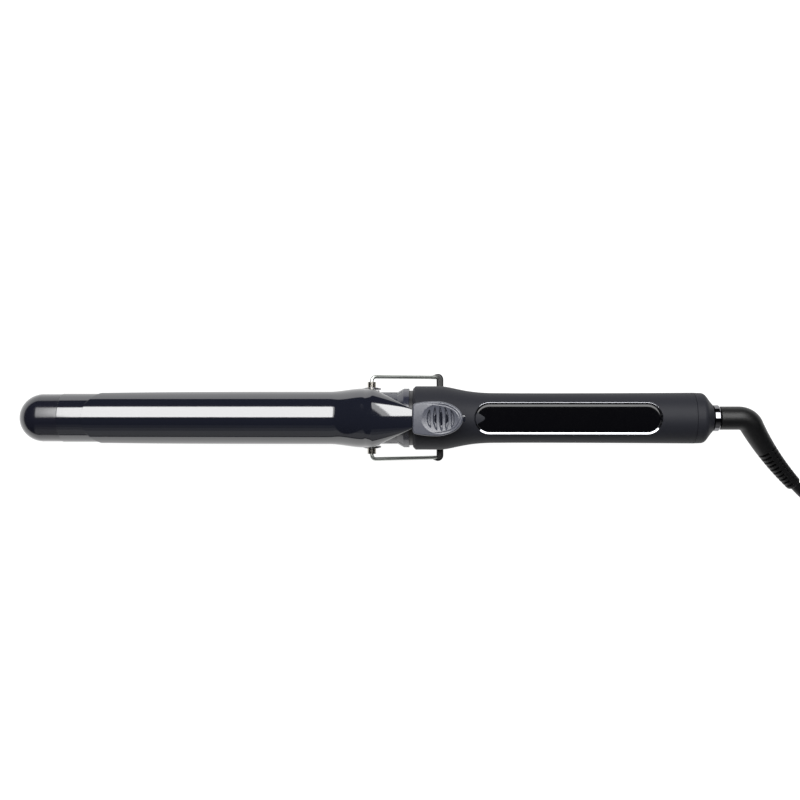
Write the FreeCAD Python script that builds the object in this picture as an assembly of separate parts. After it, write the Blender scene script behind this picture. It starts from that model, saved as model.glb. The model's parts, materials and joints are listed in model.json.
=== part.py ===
import FreeCAD, Part
import math
import os

# Curling iron with a folding wire stand and a swivel cord. Sizes are in millimetres.
# The iron is drawn with its barrel axis along X, the tip at x = 0 and the clamp on top (+Z).
# rest() then lays it on a table, where it leans on the cool tip and on the folded stand.

V = FreeCAD.Vector
X_AXIS = V(1, 0, 0)
Y_AXIS = V(0, 1, 0)
Z_AXIS = V(0, 0, 1)
ORIGIN = V(0, 0, 0)

# ---- barrel and cool tip ----
barrel_diameter = 25.0
barrel_wall = 1.2
barrel_end_x = 213.5
tip_diameter = barrel_diameter - 0.4
tip_length = 22.6
tip_spigot_length = 9.0
tip_wall = 2.2

# ---- clamp plate ----
clamp_gap = 0.2
clamp_sheet = 0.8
clamp_front_x = 35.4
clamp_nose_length = 11.5
clamp_front_edge_z = 4.0
clamp_rear_edge_z = 0.3
clamp_edge_run = 80.0
flare_start_x = 160.5
flare_length = 17.5
ear_half_width = barrel_diameter / 2 + 2.65
ear_radius = 4.8
neck_half_width = 4.6
crown_neck_z = barrel_diameter / 2 + 10.9

# ---- clamp hinge ----
pivot_x = 182.2
pivot_hole_radius = 1.9
running_clearance = 0.05
bush_head_radius = 2.2
bush_end_y = ear_half_width + 3.25
washer_radius = 3.6
washer_thickness = 0.2

# ---- hinge bracket ----
bracket_start_x = 172.5
bracket_wall = 0.78
bracket_flare_x = 195.6
ring_start_x = 198.7
ring_end_x = 201.5
ring_radius = barrel_diameter / 2 + 2.55
bracket_ear_radius = 4.0
bracket_ear_outer_y = ear_half_width - 1.1

# ---- lever pad ----
pad_start_x = 204.0
pad_length = 24.9
pad_width = 17.1
pad_widest_at = 11.4
pad_front_stretch = 21.0
pad_bottom_z = crown_neck_z - 1.8
pad_slope = 8.6
pad_thickness = 3.1
tongue_level = 0.7
tongue_tip_width = 4.0
tongue_overhang = 0.9
dish_depth = 0.8
dish_length = 18.6
dish_width = 15.2
groove_count = 5
groove_pitch = 2.97
groove_width = 1.2
groove_depth = 0.45

# ---- handle ----
handle_start_x = 203.4
handle_end_x = 345.0
bulge_radius = ring_radius + 1.15
bulge_end_x = 216.5
grip_start_x = 246.0
grip_radius = 12.7
grip_end_radius = 12.85
handle_wall = 2.0
handle_chamfer = 1.3
parting_gap = 0.04
front_screw_x = 228.5
rear_screw_x = handle_end_x - 9.4
screw_boss_radius = 2.7
screw_radius = 1.25
screw_head_radius = 2.3
screw_head_height = 1.6

# ---- window ----
window_centre_x = handle_end_x - 64.0
window_length = 94.2
window_width = 16.1
bezel_width = 1.5
bezel_proud = 0.3
lens_proud = 0.12
recess_depth = 1.2
ledge_width = 1.2
fit_gap = 0.05

# ---- folding stand ----
stand_wire_radius = 1.0
stand_half_width = ear_half_width + 5.95
stand_bend_radius = 2.6
foot_x = 216.9
foot_underside = barrel_diameter / 2 + 7.75
foot_clearance = 0.45
foot_bar_length = 3.7
foot_half_width = stand_half_width + 2.2
foot_claw_length = 4.6

# ---- end cap and swivel ----
cap_end_x = handle_end_x + 9.4
cap_face_radius = 7.1
cap_wall = 2.2
cap_spigot_length = 5.4
core_radius = 4.5
core_start_x = handle_end_x - 4.8
collar_radius = 6.65
collar_start_x = cap_end_x + 0.5
collar_end_x = cap_end_x + 3.5
core_stub_radius = 3.2
core_stub_length = 6.0
ring_height = 0.9
ring_length = 2.0
first_ring_x = handle_end_x - 1.2
second_ring_x = handle_end_x + 2.6

# ---- cord boot ----
boot_start_x = cap_end_x + 4.0
boot_radius = 5.9
boot_end_radius = 3.85
boot_straight = 9.6
boot_bend_radius = 7.7
boot_bend_angle = 59.5
boot_leg_length = 41.0
boot_relax_angle = 13.5
boot_roll = 20.0
boot_slot_count = 10
boot_slot_pitch = 2.45
boot_slot_width = 0.95
boot_slot_spine = 1.1

# ---- cord, hank and plug ----
cord_diameter = 5.4
hank_centre_y = -28.0
hank_gap_from_lead_bend = 22.5
hank_straight = 81.0
hank_fold_radius = 21.8
lead_landing_run = 36.0
hank_strands_wide = 3
hank_strands_high = 2
plug_length = 33.0
plug_width = 34.0
plug_height = 13.8
plug_boot_length = 22.0
plug_pin_radius = 2.0
plug_pin_root = 1.4
plug_pin_length = 19.0
plug_pin_spacing = 18.6
plug_entry_ahead = 56.0
plug_entry_aside = -20.0
tail_final_run = 14.0

# ---- sizes that follow from those above ----
barrel_radius = barrel_diameter / 2
barrel_bore = barrel_radius - barrel_wall
tip_radius = tip_diameter / 2
clamp_inner = barrel_radius + clamp_gap
clamp_outer = clamp_inner + clamp_sheet
bracket_inner = barrel_radius + 0.02
bracket_outer = bracket_inner + bracket_wall
foot_reach = math.hypot(foot_x - tip_radius, foot_underside)
rest_tilt = (math.atan2(foot_underside, foot_x - tip_radius)
             - math.asin(tip_radius / foot_reach))
tilt_sin = math.sin(rest_tilt)
tilt_cos = math.cos(rest_tilt)
cord_radius = cord_diameter / 2


# ---------------------------------------------------------------- plain shapes

def cyl_x(radius, x0, x1, y=0.0, z=0.0):
    return Part.makeCylinder(radius, x1 - x0, V(x0, y, z), X_AXIS)


def cyl_y(radius, y0, y1, x=0.0, z=0.0):
    return Part.makeCylinder(radius, y1 - y0, V(x, y0, z), Y_AXIS)


def cyl_z(radius, z0, z1, x=0.0, y=0.0):
    return Part.makeCylinder(radius, z1 - z0, V(x, y, z0), Z_AXIS)


def pipe_x(outer, inner, x0, x1):
    return cyl_x(outer, x0, x1).cut(cyl_x(inner, x0 - 1, x1 + 1))


def block(x0, x1, y0, y1, z0, z1):
    return Part.makeBox(x1 - x0, y1 - y0, z1 - z0, V(x0, y0, z0))


def join(shapes):
    result = shapes[0]
    for shape in shapes[1:]:
        result = result.fuse(shape)
    return result.removeSplitter()


def group(shapes):
    return Part.Compound(shapes)


def mirror_y(shape):
    return shape.mirror(ORIGIN, Y_AXIS)


def both_sides(shape):
    return group([shape, mirror_y(shape)])


def turned(points):
    """Solid turned about the X axis from a closed outline of (x, radius) points."""
    corners = [V(x, 0, r) for x, r in points]
    corners.append(corners[0])
    face = Part.Face(Part.makePolygon(corners))
    return face.revolve(ORIGIN, X_AXIS, 360)


def bezier(points):
    curve = Part.BezierCurve()
    curve.setPoles(points)
    return curve.toShape()


def plate_xz(points, y0, y1):
    """Prism along Y from an outline of (x, z) points."""
    corners = [V(x, y0, z) for x, z in points]
    corners.append(corners[0])
    return Part.Face(Part.makePolygon(corners)).extrude(V(0, y1 - y0, 0))


def plate_xy(points, z0, z1):
    """Prism along Z from an outline of (x, y) points."""
    corners = [V(x, y, z0) for x, y in points]
    corners.append(corners[0])
    return Part.Face(Part.makePolygon(corners)).extrude(V(0, 0, z1 - z0))


def stadium(centre_x, centre_y, length, width, z0, z1):
    """Upright prism with two straight sides along X and two half-round ends."""
    radius = width / 2
    half = length / 2 - radius
    middle = block(centre_x - half, centre_x + half, centre_y - radius, centre_y + radius, z0, z1)
    left = cyl_z(radius, z0, z1, centre_x - half, centre_y)
    right = cyl_z(radius, z0, z1, centre_x + half, centre_y)
    return join([middle, left, right])


def coil_spring(mean_radius, wire_radius, height, turns, x, y, z):
    pitch = (height - 2 * wire_radius) / turns
    helix = Part.makeHelix(pitch, pitch * turns, mean_radius)
    section = Part.makeCircle(wire_radius, V(mean_radius, 0, 0), Y_AXIS)
    spring = Part.Wire(helix).makePipeShell([Part.Wire(section)], True, True)
    spring.translate(V(x, y, z + wire_radius))
    return spring


def route_wire(points, label=""):
    """Straight runs through the points, joined by tangent arcs sized from the shorter run."""
    edges = []
    start = points[0]
    for before, corner, after in zip(points, points[1:], points[2:]):
        into = (corner - before).normalize()
        out = (after - corner).normalize()
        half_turn = into.getAngle(out) / 2
        trim = 0.45 * min((corner - before).Length, (after - corner).Length)
        first = corner - into * trim
        last = corner + out * trim
        centre_way = (out - into).normalize()
        radius = trim / math.tan(half_turn)
        if label:
            print("%s bend radius %.1f mm, turn %.0f deg"
                  % (label, radius, math.degrees(2 * half_turn)))
        middle = corner + centre_way * (radius / math.cos(half_turn) - radius)
        edges.append(Part.LineSegment(start, first).toShape())
        edges.append(Part.Arc(first, middle, last).toShape())
        start = last
    edges.append(Part.LineSegment(start, points[-1]).toShape())
    return Part.Wire(edges)


def tube(points, radius, label=""):
    path = route_wire(points, label)
    way = (points[1] - points[0]).normalize()
    section = Part.Wire(Part.makeCircle(radius, points[0], way))
    solid = path.makePipeShell([section], True, False)
    if label:
        print("%s length %.0f mm, volume ratio %.3f"
              % (label, path.Length, solid.Volume / (math.pi * radius ** 2 * path.Length)))
    return solid


# ---------------------------------------------------------------- barrel end

def make_cool_tip():
    half_ball = Part.makeSphere(tip_radius, V(tip_radius, 0, 0))
    sleeve = cyl_x(tip_radius, tip_radius, tip_length)
    spigot_end = tip_length + tip_spigot_length
    spigot = cyl_x(barrel_bore - fit_gap, tip_length - 1, spigot_end)
    hollow = cyl_x(barrel_bore - fit_gap - tip_wall, tip_radius * 0.7, spigot_end + 1)
    ball = half_ball.common(cyl_x(tip_radius + 1, -1, tip_radius))
    return join([ball, sleeve, spigot]).cut(hollow)


def make_barrel():
    return pipe_x(barrel_radius, barrel_bore, tip_length, barrel_end_x)


heater_start_x = 44.0
heater_end_x = 164.0
shield_thickness = 2.0
spreader_gap = 0.08
stone_thickness = 2.4
stone_width = 14.0
stone_length = 34.0
stone_count = 3
electrode_thickness = 0.3
film_thickness = 0.15
film_margin = 1.6
pack_half = stone_thickness / 2 + electrode_thickness + film_thickness
sensor_hole_radius = 1.7
sensor_level = 6.2


def make_heat_shield():
    start = tip_length + tip_spigot_length + 3
    return cyl_x(barrel_bore - spreader_gap, start, start + shield_thickness)


def spreader_bar():
    return cyl_x(barrel_bore - spreader_gap, heater_start_x, heater_end_x)


def make_spreader_upper():
    bar = spreader_bar().common(block(0, 400, -20, 20, pack_half + fit_gap, 20))
    return bar.cut(cyl_x(sensor_hole_radius, heater_start_x - 1, heater_end_x + 1, 0, sensor_level))


def make_spreader_lower():
    return spreader_bar().common(block(0, 400, -20, 20, -20, -pack_half - fit_gap))


def make_ptc_stones():
    pitch = (heater_end_x - heater_start_x) / stone_count
    stones = []
    for index in range(stone_count):
        middle = heater_start_x + pitch * (index + 0.5)
        stones.append(block(middle - stone_length / 2, middle + stone_length / 2,
                            -stone_width / 2, stone_width / 2,
                            -stone_thickness / 2, stone_thickness / 2))
    return group(stones)


def make_electrode(side):
    inner = stone_thickness / 2
    outer = inner + electrode_thickness
    strip = block(heater_start_x + 1, heater_end_x + 4, -stone_width / 2, stone_width / 2, inner, outer)
    if side < 0:
        strip = strip.mirror(ORIGIN, Z_AXIS)
    return strip


def make_films():
    inner = stone_thickness / 2 + electrode_thickness
    half = stone_width / 2 + film_margin
    film = block(heater_start_x, heater_end_x, -half, half, inner, inner + film_thickness)
    return group([film, film.mirror(ORIGIN, Z_AXIS)])


def make_thermistor():
    middle = (heater_start_x + heater_end_x) / 2
    radius = sensor_hole_radius - 0.25
    bead = Part.makeSphere(radius, V(middle, 0, sensor_level))
    body = cyl_x(radius, middle, middle + 12, 0, sensor_level)
    return join([bead, body])


fuse_start_x = 170.0
fuse_length = 12.0
fuse_radius = 2.0
fuse_y = -5.0


def make_thermal_fuse():
    body = cyl_x(fuse_radius, fuse_start_x, fuse_start_x + fuse_length, fuse_y, -3.0)
    nose = Part.makeCone(fuse_radius, 0.8, 2.0, V(fuse_start_x + fuse_length, fuse_y, -3.0), X_AXIS)
    return join([body, nose])


bush_radius = 14.0
bush_end_x = 216.0
bush_hole_radius = 8.0


def make_base_bush():
    start = ring_end_x + 0.1
    outline = [(start, barrel_radius + fit_gap), (start, bush_radius), (bush_end_x, bush_radius),
               (bush_end_x, bush_hole_radius), (barrel_end_x + fit_gap, bush_hole_radius),
               (barrel_end_x + fit_gap, barrel_radius + fit_gap)]
    return turned(outline)


# ---------------------------------------------------------------- hinge bracket

def make_hinge_bracket():
    shell = turned([(bracket_start_x, bracket_inner), (bracket_start_x, bracket_outer),
                    (bracket_flare_x, bracket_outer), (ring_start_x, ring_radius),
                    (ring_end_x, ring_radius), (ring_end_x, bracket_inner)])
    ear = cyl_y(bracket_ear_radius, barrel_radius + 0.1, bracket_ear_outer_y, pivot_x)
    hole = cyl_y(pivot_hole_radius + 0.01, barrel_radius - 1, ear_half_width + 5, pivot_x)
    ears = [ear, mirror_y(ear)]
    bracket = join([shell] + ears)
    return bracket.cut(hole).cut(mirror_y(hole))


def make_pivot_bushes():
    start = barrel_radius + 0.2
    head_start = ear_half_width + 0.15 + washer_thickness + 0.1
    shank = cyl_y(pivot_hole_radius, start, head_start, pivot_x)
    head = cyl_y(bush_head_radius, head_start, bush_end_y, pivot_x)
    bore = cyl_y(stand_wire_radius + running_clearance, start + 0.5, bush_end_y + 1, pivot_x)
    return both_sides(join([shank, head]).cut(bore))


def make_pivot_washers():
    start = ear_half_width + 0.15
    disc = cyl_y(washer_radius, start, start + washer_thickness, pivot_x)
    hole = cyl_y(pivot_hole_radius + 0.02, start - 1, start + 2, pivot_x)
    return both_sides(disc.cut(hole))


spring_x = 191.6
spring_mean_radius = 2.7
spring_wire_radius = 0.4
spring_turns = 6
seat_radius = 3.6
seat_height = 0.6
stud_height = 2.2


def make_spring_seat():
    top = bracket_outer + seat_height
    disc = cyl_z(seat_radius, bracket_outer - 1.5, top, spring_x)
    stud = cyl_z(spring_mean_radius - spring_wire_radius - 0.25, top - 0.1, top + stud_height, spring_x)
    return join([disc, stud]).cut(cyl_x(bracket_outer + 0.01, spring_x - 10, spring_x + 10))


def make_clamp_spring():
    bottom = bracket_outer + seat_height + 0.05
    top = crown_height(spring_x - spring_mean_radius - spring_wire_radius) - clamp_sheet - 0.35
    return coil_spring(spring_mean_radius, spring_wire_radius, top - bottom, spring_turns,
                       spring_x, 0, bottom)


# ---------------------------------------------------------------- clamp

def smooth(value):
    value = min(1.0, max(0.0, value))
    return value * value * (3 - 2 * value)


def crown_height(x):
    """Top line of the clamp: level over the barrel, then a rising neck that eases off."""
    rise_start = flare_start_x + 1.5
    if x <= rise_start:
        return clamp_outer
    span = pad_start_x - rise_start
    u = (x - rise_start) / span
    ease_in = u * u / (u + 0.10)
    full = 1 / 1.10
    rise = crown_neck_z - clamp_outer
    return clamp_outer + rise * (1 - (1 - ease_in / full) ** 1.55)


def side_width(x):
    """Half width of the clamp: barrel width, flared to the ears, then a straight taper."""
    taper_start = pivot_x + 0.8
    if x <= taper_start:
        flare = smooth((x - flare_start_x) / flare_length)
        return clamp_outer + (ear_half_width - clamp_outer) * flare
    u = (x - taper_start) / (pad_start_x - taper_start)
    return ear_half_width + (neck_half_width - ear_half_width) * u


def base_height(x):
    """Height of the lower edge: on the axis up to the ears, then climbing to the neck."""
    climb_start = pivot_x - 3.0
    if x <= climb_start:
        return 0.0
    u = (x - climb_start) / (pad_start_x - climb_start)
    top = crown_neck_z - clamp_sheet - 0.2
    return top * (1 - (1 - u) ** 1.42)


def arch_edge(x, half_width, top, base, squareness, turn):
    points = []
    count = 24
    for index in range(count + 1):
        angle = math.pi * index / count
        c = math.cos(angle)
        s = math.sin(angle)
        y = half_width * math.copysign(abs(c) ** (2 / squareness), c)
        z = base + (top - base) * abs(s) ** (2 / squareness)
        points.append(V(x, y, z))
    if turn:
        points.reverse()
    curve = Part.BSplineCurve()
    curve.interpolate(points)
    return curve.toShape(), points[0], points[-1]


def clamp_section(x):
    half_width = side_width(x)
    top = crown_height(x)
    base = base_height(x)
    squareness = 2.0 + 0.4 * smooth((x - flare_start_x) / flare_length)
    outer, outer_start, outer_end = arch_edge(x, half_width, top, base, squareness, False)
    inner, inner_start, inner_end = arch_edge(x, half_width - clamp_sheet, top - clamp_sheet,
                                              base, squareness, True)
    foot_one = Part.LineSegment(outer_end, inner_start).toShape()
    foot_two = Part.LineSegment(inner_end, outer_start).toShape()
    return Part.Wire([outer, foot_one, inner, foot_two])


def tongue():
    """Flat strip that carries the lever pad, drawn in the pad's own frame."""
    end = pad_length + tongue_overhang
    low = tongue_level
    high = tongue_level + clamp_sheet
    wide = neck_half_width
    narrow = tongue_tip_width / 2
    outline = [(-1.2, -wide), (pad_length * 0.62, -wide), (pad_length * 0.8, -narrow),
               (end, -narrow), (end, narrow), (pad_length * 0.8, narrow),
               (pad_length * 0.62, wide), (-1.2, wide)]
    return plate_xy(outline, low, high)


def on_lever(shape):
    """Moves a shape from the pad's own frame to its place on the neck."""
    placed = shape.copy()
    placed.rotate(ORIGIN, Y_AXIS, -pad_slope)
    placed.translate(V(pad_start_x, 0, pad_bottom_z))
    return placed


def make_clamp_plate():
    straight = Part.Face(clamp_section(clamp_front_x - 2)).extrude(
        V(flare_start_x - clamp_front_x + 2, 0, 0))
    stations = []
    steps = 20
    span = pad_start_x - 0.6 - flare_start_x
    for index in range(steps + 1):
        stations.append(flare_start_x + span * index / steps)
    neck = Part.makeLoft([clamp_section(x) for x in stations], True, False)
    ear_inner = ear_half_width - clamp_sheet
    ear = cyl_y(ear_radius, ear_inner, ear_half_width, pivot_x)
    plate = straight.fuse(neck).fuse(ear).fuse(mirror_y(ear)).fuse(on_lever(tongue()))
    hole = cyl_y(pivot_hole_radius + running_clearance, ear_inner - 2, ear_half_width + 2, pivot_x)
    plate = plate.cut(hole).cut(mirror_y(hole))
    plate = plate.cut(on_lever(cyl_z(lever_screw_radius + fit_gap, -1, pad_thickness, lever_screw_x)))
    nose_x = clamp_front_x + clamp_nose_length
    edge_cut = plate_xz([(clamp_front_x - 5, -30), (clamp_front_x - 5, clamp_front_edge_z),
                         (nose_x, clamp_front_edge_z), (nose_x + clamp_edge_run, clamp_rear_edge_z),
                         (flare_start_x, clamp_rear_edge_z), (flare_start_x + 2, -0.1),
                         (flare_start_x + 2, -30)], -30, 30)
    plate = plate.cut(edge_cut)
    rounding = Part.Ellipse(V(nose_x, clamp_outer, -30), V(clamp_front_x, 0, -30), V(nose_x, 0, -30))
    rounding = Part.Face(Part.Wire(rounding.toShape())).extrude(V(0, 0, 60))
    front_zone = block(clamp_front_x - 5, nose_x, -30, 30, -30, 30).cut(rounding)
    return plate.cut(front_zone)


def pad_outline(margin):
    """Egg-shaped plan of the pad: a long front half ellipse, cut square, and a short rear one."""
    half = pad_width / 2 - margin
    middle = pad_widest_at
    front_radius = pad_front_stretch - margin
    rear_radius = pad_length - pad_widest_at - margin
    front = Part.Ellipse(V(middle - front_radius, 0, 0), V(middle, half, 0), V(middle, 0, 0))
    front = Part.Face(Part.Wire(front.toShape())).extrude(V(0, 0, 10))
    front = front.common(block(margin, middle, -20, 20, 0, 10))
    if rear_radius > half:
        rear = Part.Ellipse(V(middle + rear_radius, 0, 0), V(middle, half, 0), V(middle, 0, 0))
    else:
        rear = Part.Ellipse(V(middle, half, 0), V(middle + rear_radius, 0, 0), V(middle, 0, 0))
    rear = Part.Face(Part.Wire(rear.toShape())).extrude(V(0, 0, 10))
    rear = rear.common(block(middle, middle + 40, -20, 20, 0, 10))
    return join([front, rear])


def dish_cutter():
    ball = Part.makeSphere(1.0)
    rise = 4.0
    reach = math.sqrt(1 - (1 - dish_depth / rise) ** 2)
    matrix = FreeCAD.Matrix()
    matrix.scale(dish_length / 2 / reach, dish_width / 2 / reach, rise)
    dish = ball.transformGeometry(matrix)
    dish.translate(V(dish_centre(), 0, pad_thickness + rise - dish_depth))
    return dish


def dish_centre():
    return pad_length - dish_length / 2 - 1.6


def make_lever_pad():
    body = pad_outline(0).common(block(-5, 60, -20, 20, 0, pad_thickness))
    body = body.cut(dish_cutter())
    first = dish_centre() - groove_pitch * (groove_count - 1) / 2
    floor = pad_thickness - dish_depth - groove_depth
    for index in range(groove_count):
        x = first + groove_pitch * index
        offset = abs(index - (groove_count - 1) / 2) / groove_count
        half = dish_width * 0.40 * math.sqrt(1 - offset ** 2 * 2.2)
        body = body.cut(block(x - groove_width / 2, x + groove_width / 2, -half, half,
                              floor, pad_thickness + 1))
    slot = tongue()
    slot_box = block(-2, pad_length * 0.62 + fit_gap, -neck_half_width - fit_gap,
                     neck_half_width + fit_gap, tongue_level - fit_gap,
                     tongue_level + clamp_sheet + fit_gap)
    tip_box = block(0, pad_length + 5, -tongue_tip_width / 2 - fit_gap, tongue_tip_width / 2 + fit_gap,
                    tongue_level - fit_gap, tongue_level + clamp_sheet + fit_gap)
    body = body.cut(slot).cut(slot_box).cut(tip_box)
    body = body.cut(lever_screw_shape(fit_gap))
    return on_lever(body)


lever_screw_x = 4.6
lever_screw_radius = 1.0
lever_screw_head = 2.0
lever_screw_top = 2.5


def lever_screw_shape(margin):
    head = Part.makeCone(lever_screw_head + margin, lever_screw_radius + margin,
                         tongue_level, V(lever_screw_x, 0, 0), Z_AXIS)
    shank = cyl_z(lever_screw_radius + margin, 0, lever_screw_top + margin, lever_screw_x)
    return join([head, shank])


def make_lever_screw():
    return on_lever(lever_screw_shape(0))


# ---------------------------------------------------------------- handle

def handle_skin(offset):
    """Turned outside of the handle, moved out by offset."""
    bulge = bulge_radius + offset
    grip = grip_radius + offset
    end = grip_end_radius + offset
    front_low = V(handle_start_x, 0, bulge - handle_chamfer)
    front_high = V(handle_start_x + handle_chamfer, 0, bulge)
    bulge_end = V(bulge_end_x, 0, bulge)
    grip_start = V(grip_start_x, 0, grip)
    grip_end = V(handle_end_x, 0, end)
    ogee_span = grip_start_x - bulge_end_x
    ogee = bezier([bulge_end, V(bulge_end_x + ogee_span * 0.24, 0, bulge),
                   V(bulge_end_x + ogee_span * 0.42, 0, grip - 0.1), grip_start])
    span = handle_end_x - grip_start_x
    waist = bezier([grip_start, V(grip_start_x + span * 0.17, 0, grip - 0.2),
                    V(grip_start_x + span * 0.65, 0, grip - 0.05), grip_end])
    edges = [Part.LineSegment(V(handle_start_x, 0, 0), front_low).toShape(),
             Part.LineSegment(front_low, front_high).toShape(),
             Part.LineSegment(front_high, bulge_end).toShape(),
             ogee, waist,
             Part.LineSegment(grip_end, V(handle_end_x, 0, 0)).toShape(),
             Part.LineSegment(V(handle_end_x, 0, 0), V(handle_start_x, 0, 0)).toShape()]
    return Part.Face(Part.Wire(edges)).revolve(ORIGIN, X_AXIS, 360)


def skin_radius(x):
    """Outside radius of the handle at a station, read from the turned skin."""
    slice_face = handle_skin(0).common(block(x - 0.01, x + 0.01, -20, 20, 0, 20))
    return slice_face.BoundBox.ZMax


def handle_hollow():
    front = cyl_x(bush_radius + fit_gap, handle_start_x - 1, bush_end_x + fit_gap)
    back = handle_skin(-handle_wall).common(block(bush_end_x, handle_end_x + 1, -20, 20, -20, 20))
    return join([front, back])


def window_prism(inset, z0):
    return stadium(window_centre_x, 0, window_length - 2 * inset, window_width - 2 * inset, z0, 20)


def make_handle_upper():
    shell = handle_skin(0).cut(handle_hollow())
    shell = shell.common(block(0, 400, -20, 20, parting_gap / 2, 20))
    for x in (front_screw_x, rear_screw_x):
        boss = cyl_z(screw_boss_radius, parting_gap / 2, 14, x).common(handle_skin(-handle_wall / 2))
        shell = shell.fuse(boss)
    shell = shell.removeSplitter()
    for x in (front_screw_x, rear_screw_x):
        shell = shell.cut(cyl_z(screw_radius + 0.02, -1, 8.2, x))
    recess = window_prism(-fit_gap, 0).cut(handle_skin(-recess_depth - fit_gap))
    opening = window_prism(bezel_width + ledge_width, 0)
    return shell.cut(recess).cut(opening)


board_start_x = 240.0
board_end_x = 330.5
board_half_width = 8.9
board_bottom = 3.0
board_thickness = 1.2
board_top = board_bottom + board_thickness
post_radius = 1.6
post_y = 7.0


def make_handle_lower():
    skin = handle_skin(0)
    shell = skin.cut(handle_hollow())
    shell = shell.common(block(0, 400, -20, 20, -20, -parting_gap / 2))
    posts = []
    for x in (board_start_x + 4, board_end_x - 4):
        for y in (-post_y, post_y):
            posts.append(cyl_z(post_radius, -14, board_bottom - fit_gap, x, y))
    for x in (front_screw_x, rear_screw_x):
        posts.append(cyl_z(screw_boss_radius + 0.8, -16, -parting_gap / 2, x))
    inside = handle_skin(-handle_wall / 2)
    for post in posts:
        shell = shell.fuse(post.common(inside))
    shell = shell.removeSplitter()
    for x in (front_screw_x, rear_screw_x):
        seat = screw_seat_level(x)
        shell = shell.cut(cyl_z(screw_radius + 0.15, -20, 1, x))
        shell = shell.cut(cyl_z(screw_head_radius + 0.2, -20, seat, x))
    return shell


def screw_seat_level(x):
    return -skin_radius(x) + 4.0


def make_handle_screws():
    screws = []
    for x in (front_screw_x, rear_screw_x):
        seat = screw_seat_level(x)
        head = cyl_z(screw_head_radius, seat - screw_head_height, seat, x)
        shank = cyl_z(screw_radius, seat, 7.8, x)
        recess = block(x - 1.6, x + 1.6, -0.3, 0.3, seat - screw_head_height - 1, seat - 0.8)
        cross = block(x - 0.3, x + 0.3, -1.6, 1.6, seat - screw_head_height - 1, seat - 0.8)
        screws.append(join([head, shank]).cut(recess).cut(cross))
    return group(screws)


def make_window_bezel():
    band = handle_skin(bezel_proud).cut(handle_skin(-recess_depth))
    return band.common(window_prism(0, 0).cut(window_prism(bezel_width, -1)))


def make_display_lens():
    band = handle_skin(lens_proud).cut(handle_skin(-recess_depth))
    return band.common(window_prism(bezel_width + fit_gap, 0))


def make_control_board():
    board = block(board_start_x, board_end_x, -board_half_width, board_half_width,
                  board_bottom, board_top)
    for x in (board_start_x + 4, board_end_x - 4):
        for y in (-post_y, post_y):
            board = board.cut(cyl_z(0.6, 0, 10, x, y))
    return board


def on_board(x0, length, y0, width, height):
    return block(x0, x0 + length, y0 - width / 2, y0 + width / 2, board_top, board_top + height)


def under_board(x0, length, y0, width, height):
    return block(x0, x0 + length, y0 - width / 2, y0 + width / 2, board_bottom - height, board_bottom)


def make_display_module():
    return on_board(269.0, 15.0, 1.2, 7.6, 5.2)


def make_controller_chip():
    return on_board(289.0, 7.0, 0.0, 7.0, 1.1)


touch_key_stations = (249.0, 260.5, 302.5, 314.0)


def make_touch_springs():
    springs = []
    height = grip_radius - recess_depth - board_top - 0.9
    for x in touch_key_stations:
        springs.append(coil_spring(2.0, 0.3, height, 4, x, 0, board_top + 0.05))
    return group(springs)


def make_triac():
    body = under_board(298.0, 10.0, 0.0, 9.6, 4.4)
    tab = block(308.0, 313.0, -4.8, 4.8, board_bottom - 1.3, board_bottom)
    tab_hole = cyl_z(1.6, -10, 10, 310.6)
    return join([body, tab.cut(tab_hole)])


def make_filter_capacitor():
    return under_board(315.0, 13.0, 0.0, 6.6, 9.0)


def make_reservoir_capacitor():
    radius = 4.0
    can = cyl_x(radius, 256.0, 268.0, 0, board_bottom - radius)
    groove = pipe_x(radius + 1, radius - 0.35, 257.2, 258.0)
    groove.translate(V(0, 0, board_bottom - radius))
    return can.cut(groove)


def make_dropper_resistor():
    return cyl_x(2.2, 272.0, 281.0, 3.0, board_bottom - 2.2)


def make_board_fuse():
    return cyl_x(1.7, 284.0, 294.0, -3.4, board_bottom - 1.7)


connector_x = 248.0


def make_lead_connector():
    return under_board(connector_x, 5.0, 0.0, 13.0, 5.5)


lead_radius = 0.75
sensor_lead_radius = 0.4


def make_heater_leads():
    """One lead from the upper electrode and one from the thermal fuse, past the screw boss."""
    end = V(connector_x, 0, 0.4)
    side = screw_boss_radius + 0.8 + lead_radius + 0.9
    after_fuse = fuse_start_x + fuse_length + 2.1
    live = tube([V(heater_end_x + 5, side, 1.0), V(206.0, side, 1.0),
                 V(240.0, side - 0.9, -1.0), end + V(0, side - 1.5, 0)], lead_radius)
    fused = tube([V(after_fuse, fuse_y, -3.0), V(212.0, -side, -3.0),
                  V(240.0, 0.9 - side, -1.0), end - V(0, side - 1.5, 0)], lead_radius)
    return group([live.cut(make_lead_connector()), fused.cut(make_lead_connector())])


def make_sensor_leads():
    leads = []
    start = (heater_start_x + heater_end_x) / 2 + 12
    side = screw_boss_radius + sensor_lead_radius + 1.5
    for y in (-0.6, 0.6):
        lead = tube([V(start, y, sensor_level), V(186.0, y, sensor_level), V(208.0, side + y, 3.8),
                     V(234.0, side + y, 2.3), V(connector_x, 1.6 + y, 1.9)], sensor_lead_radius)
        leads.append(lead.cut(make_lead_connector()))
    return group(leads)


# ---------------------------------------------------------------- end cap and swivel

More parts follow.
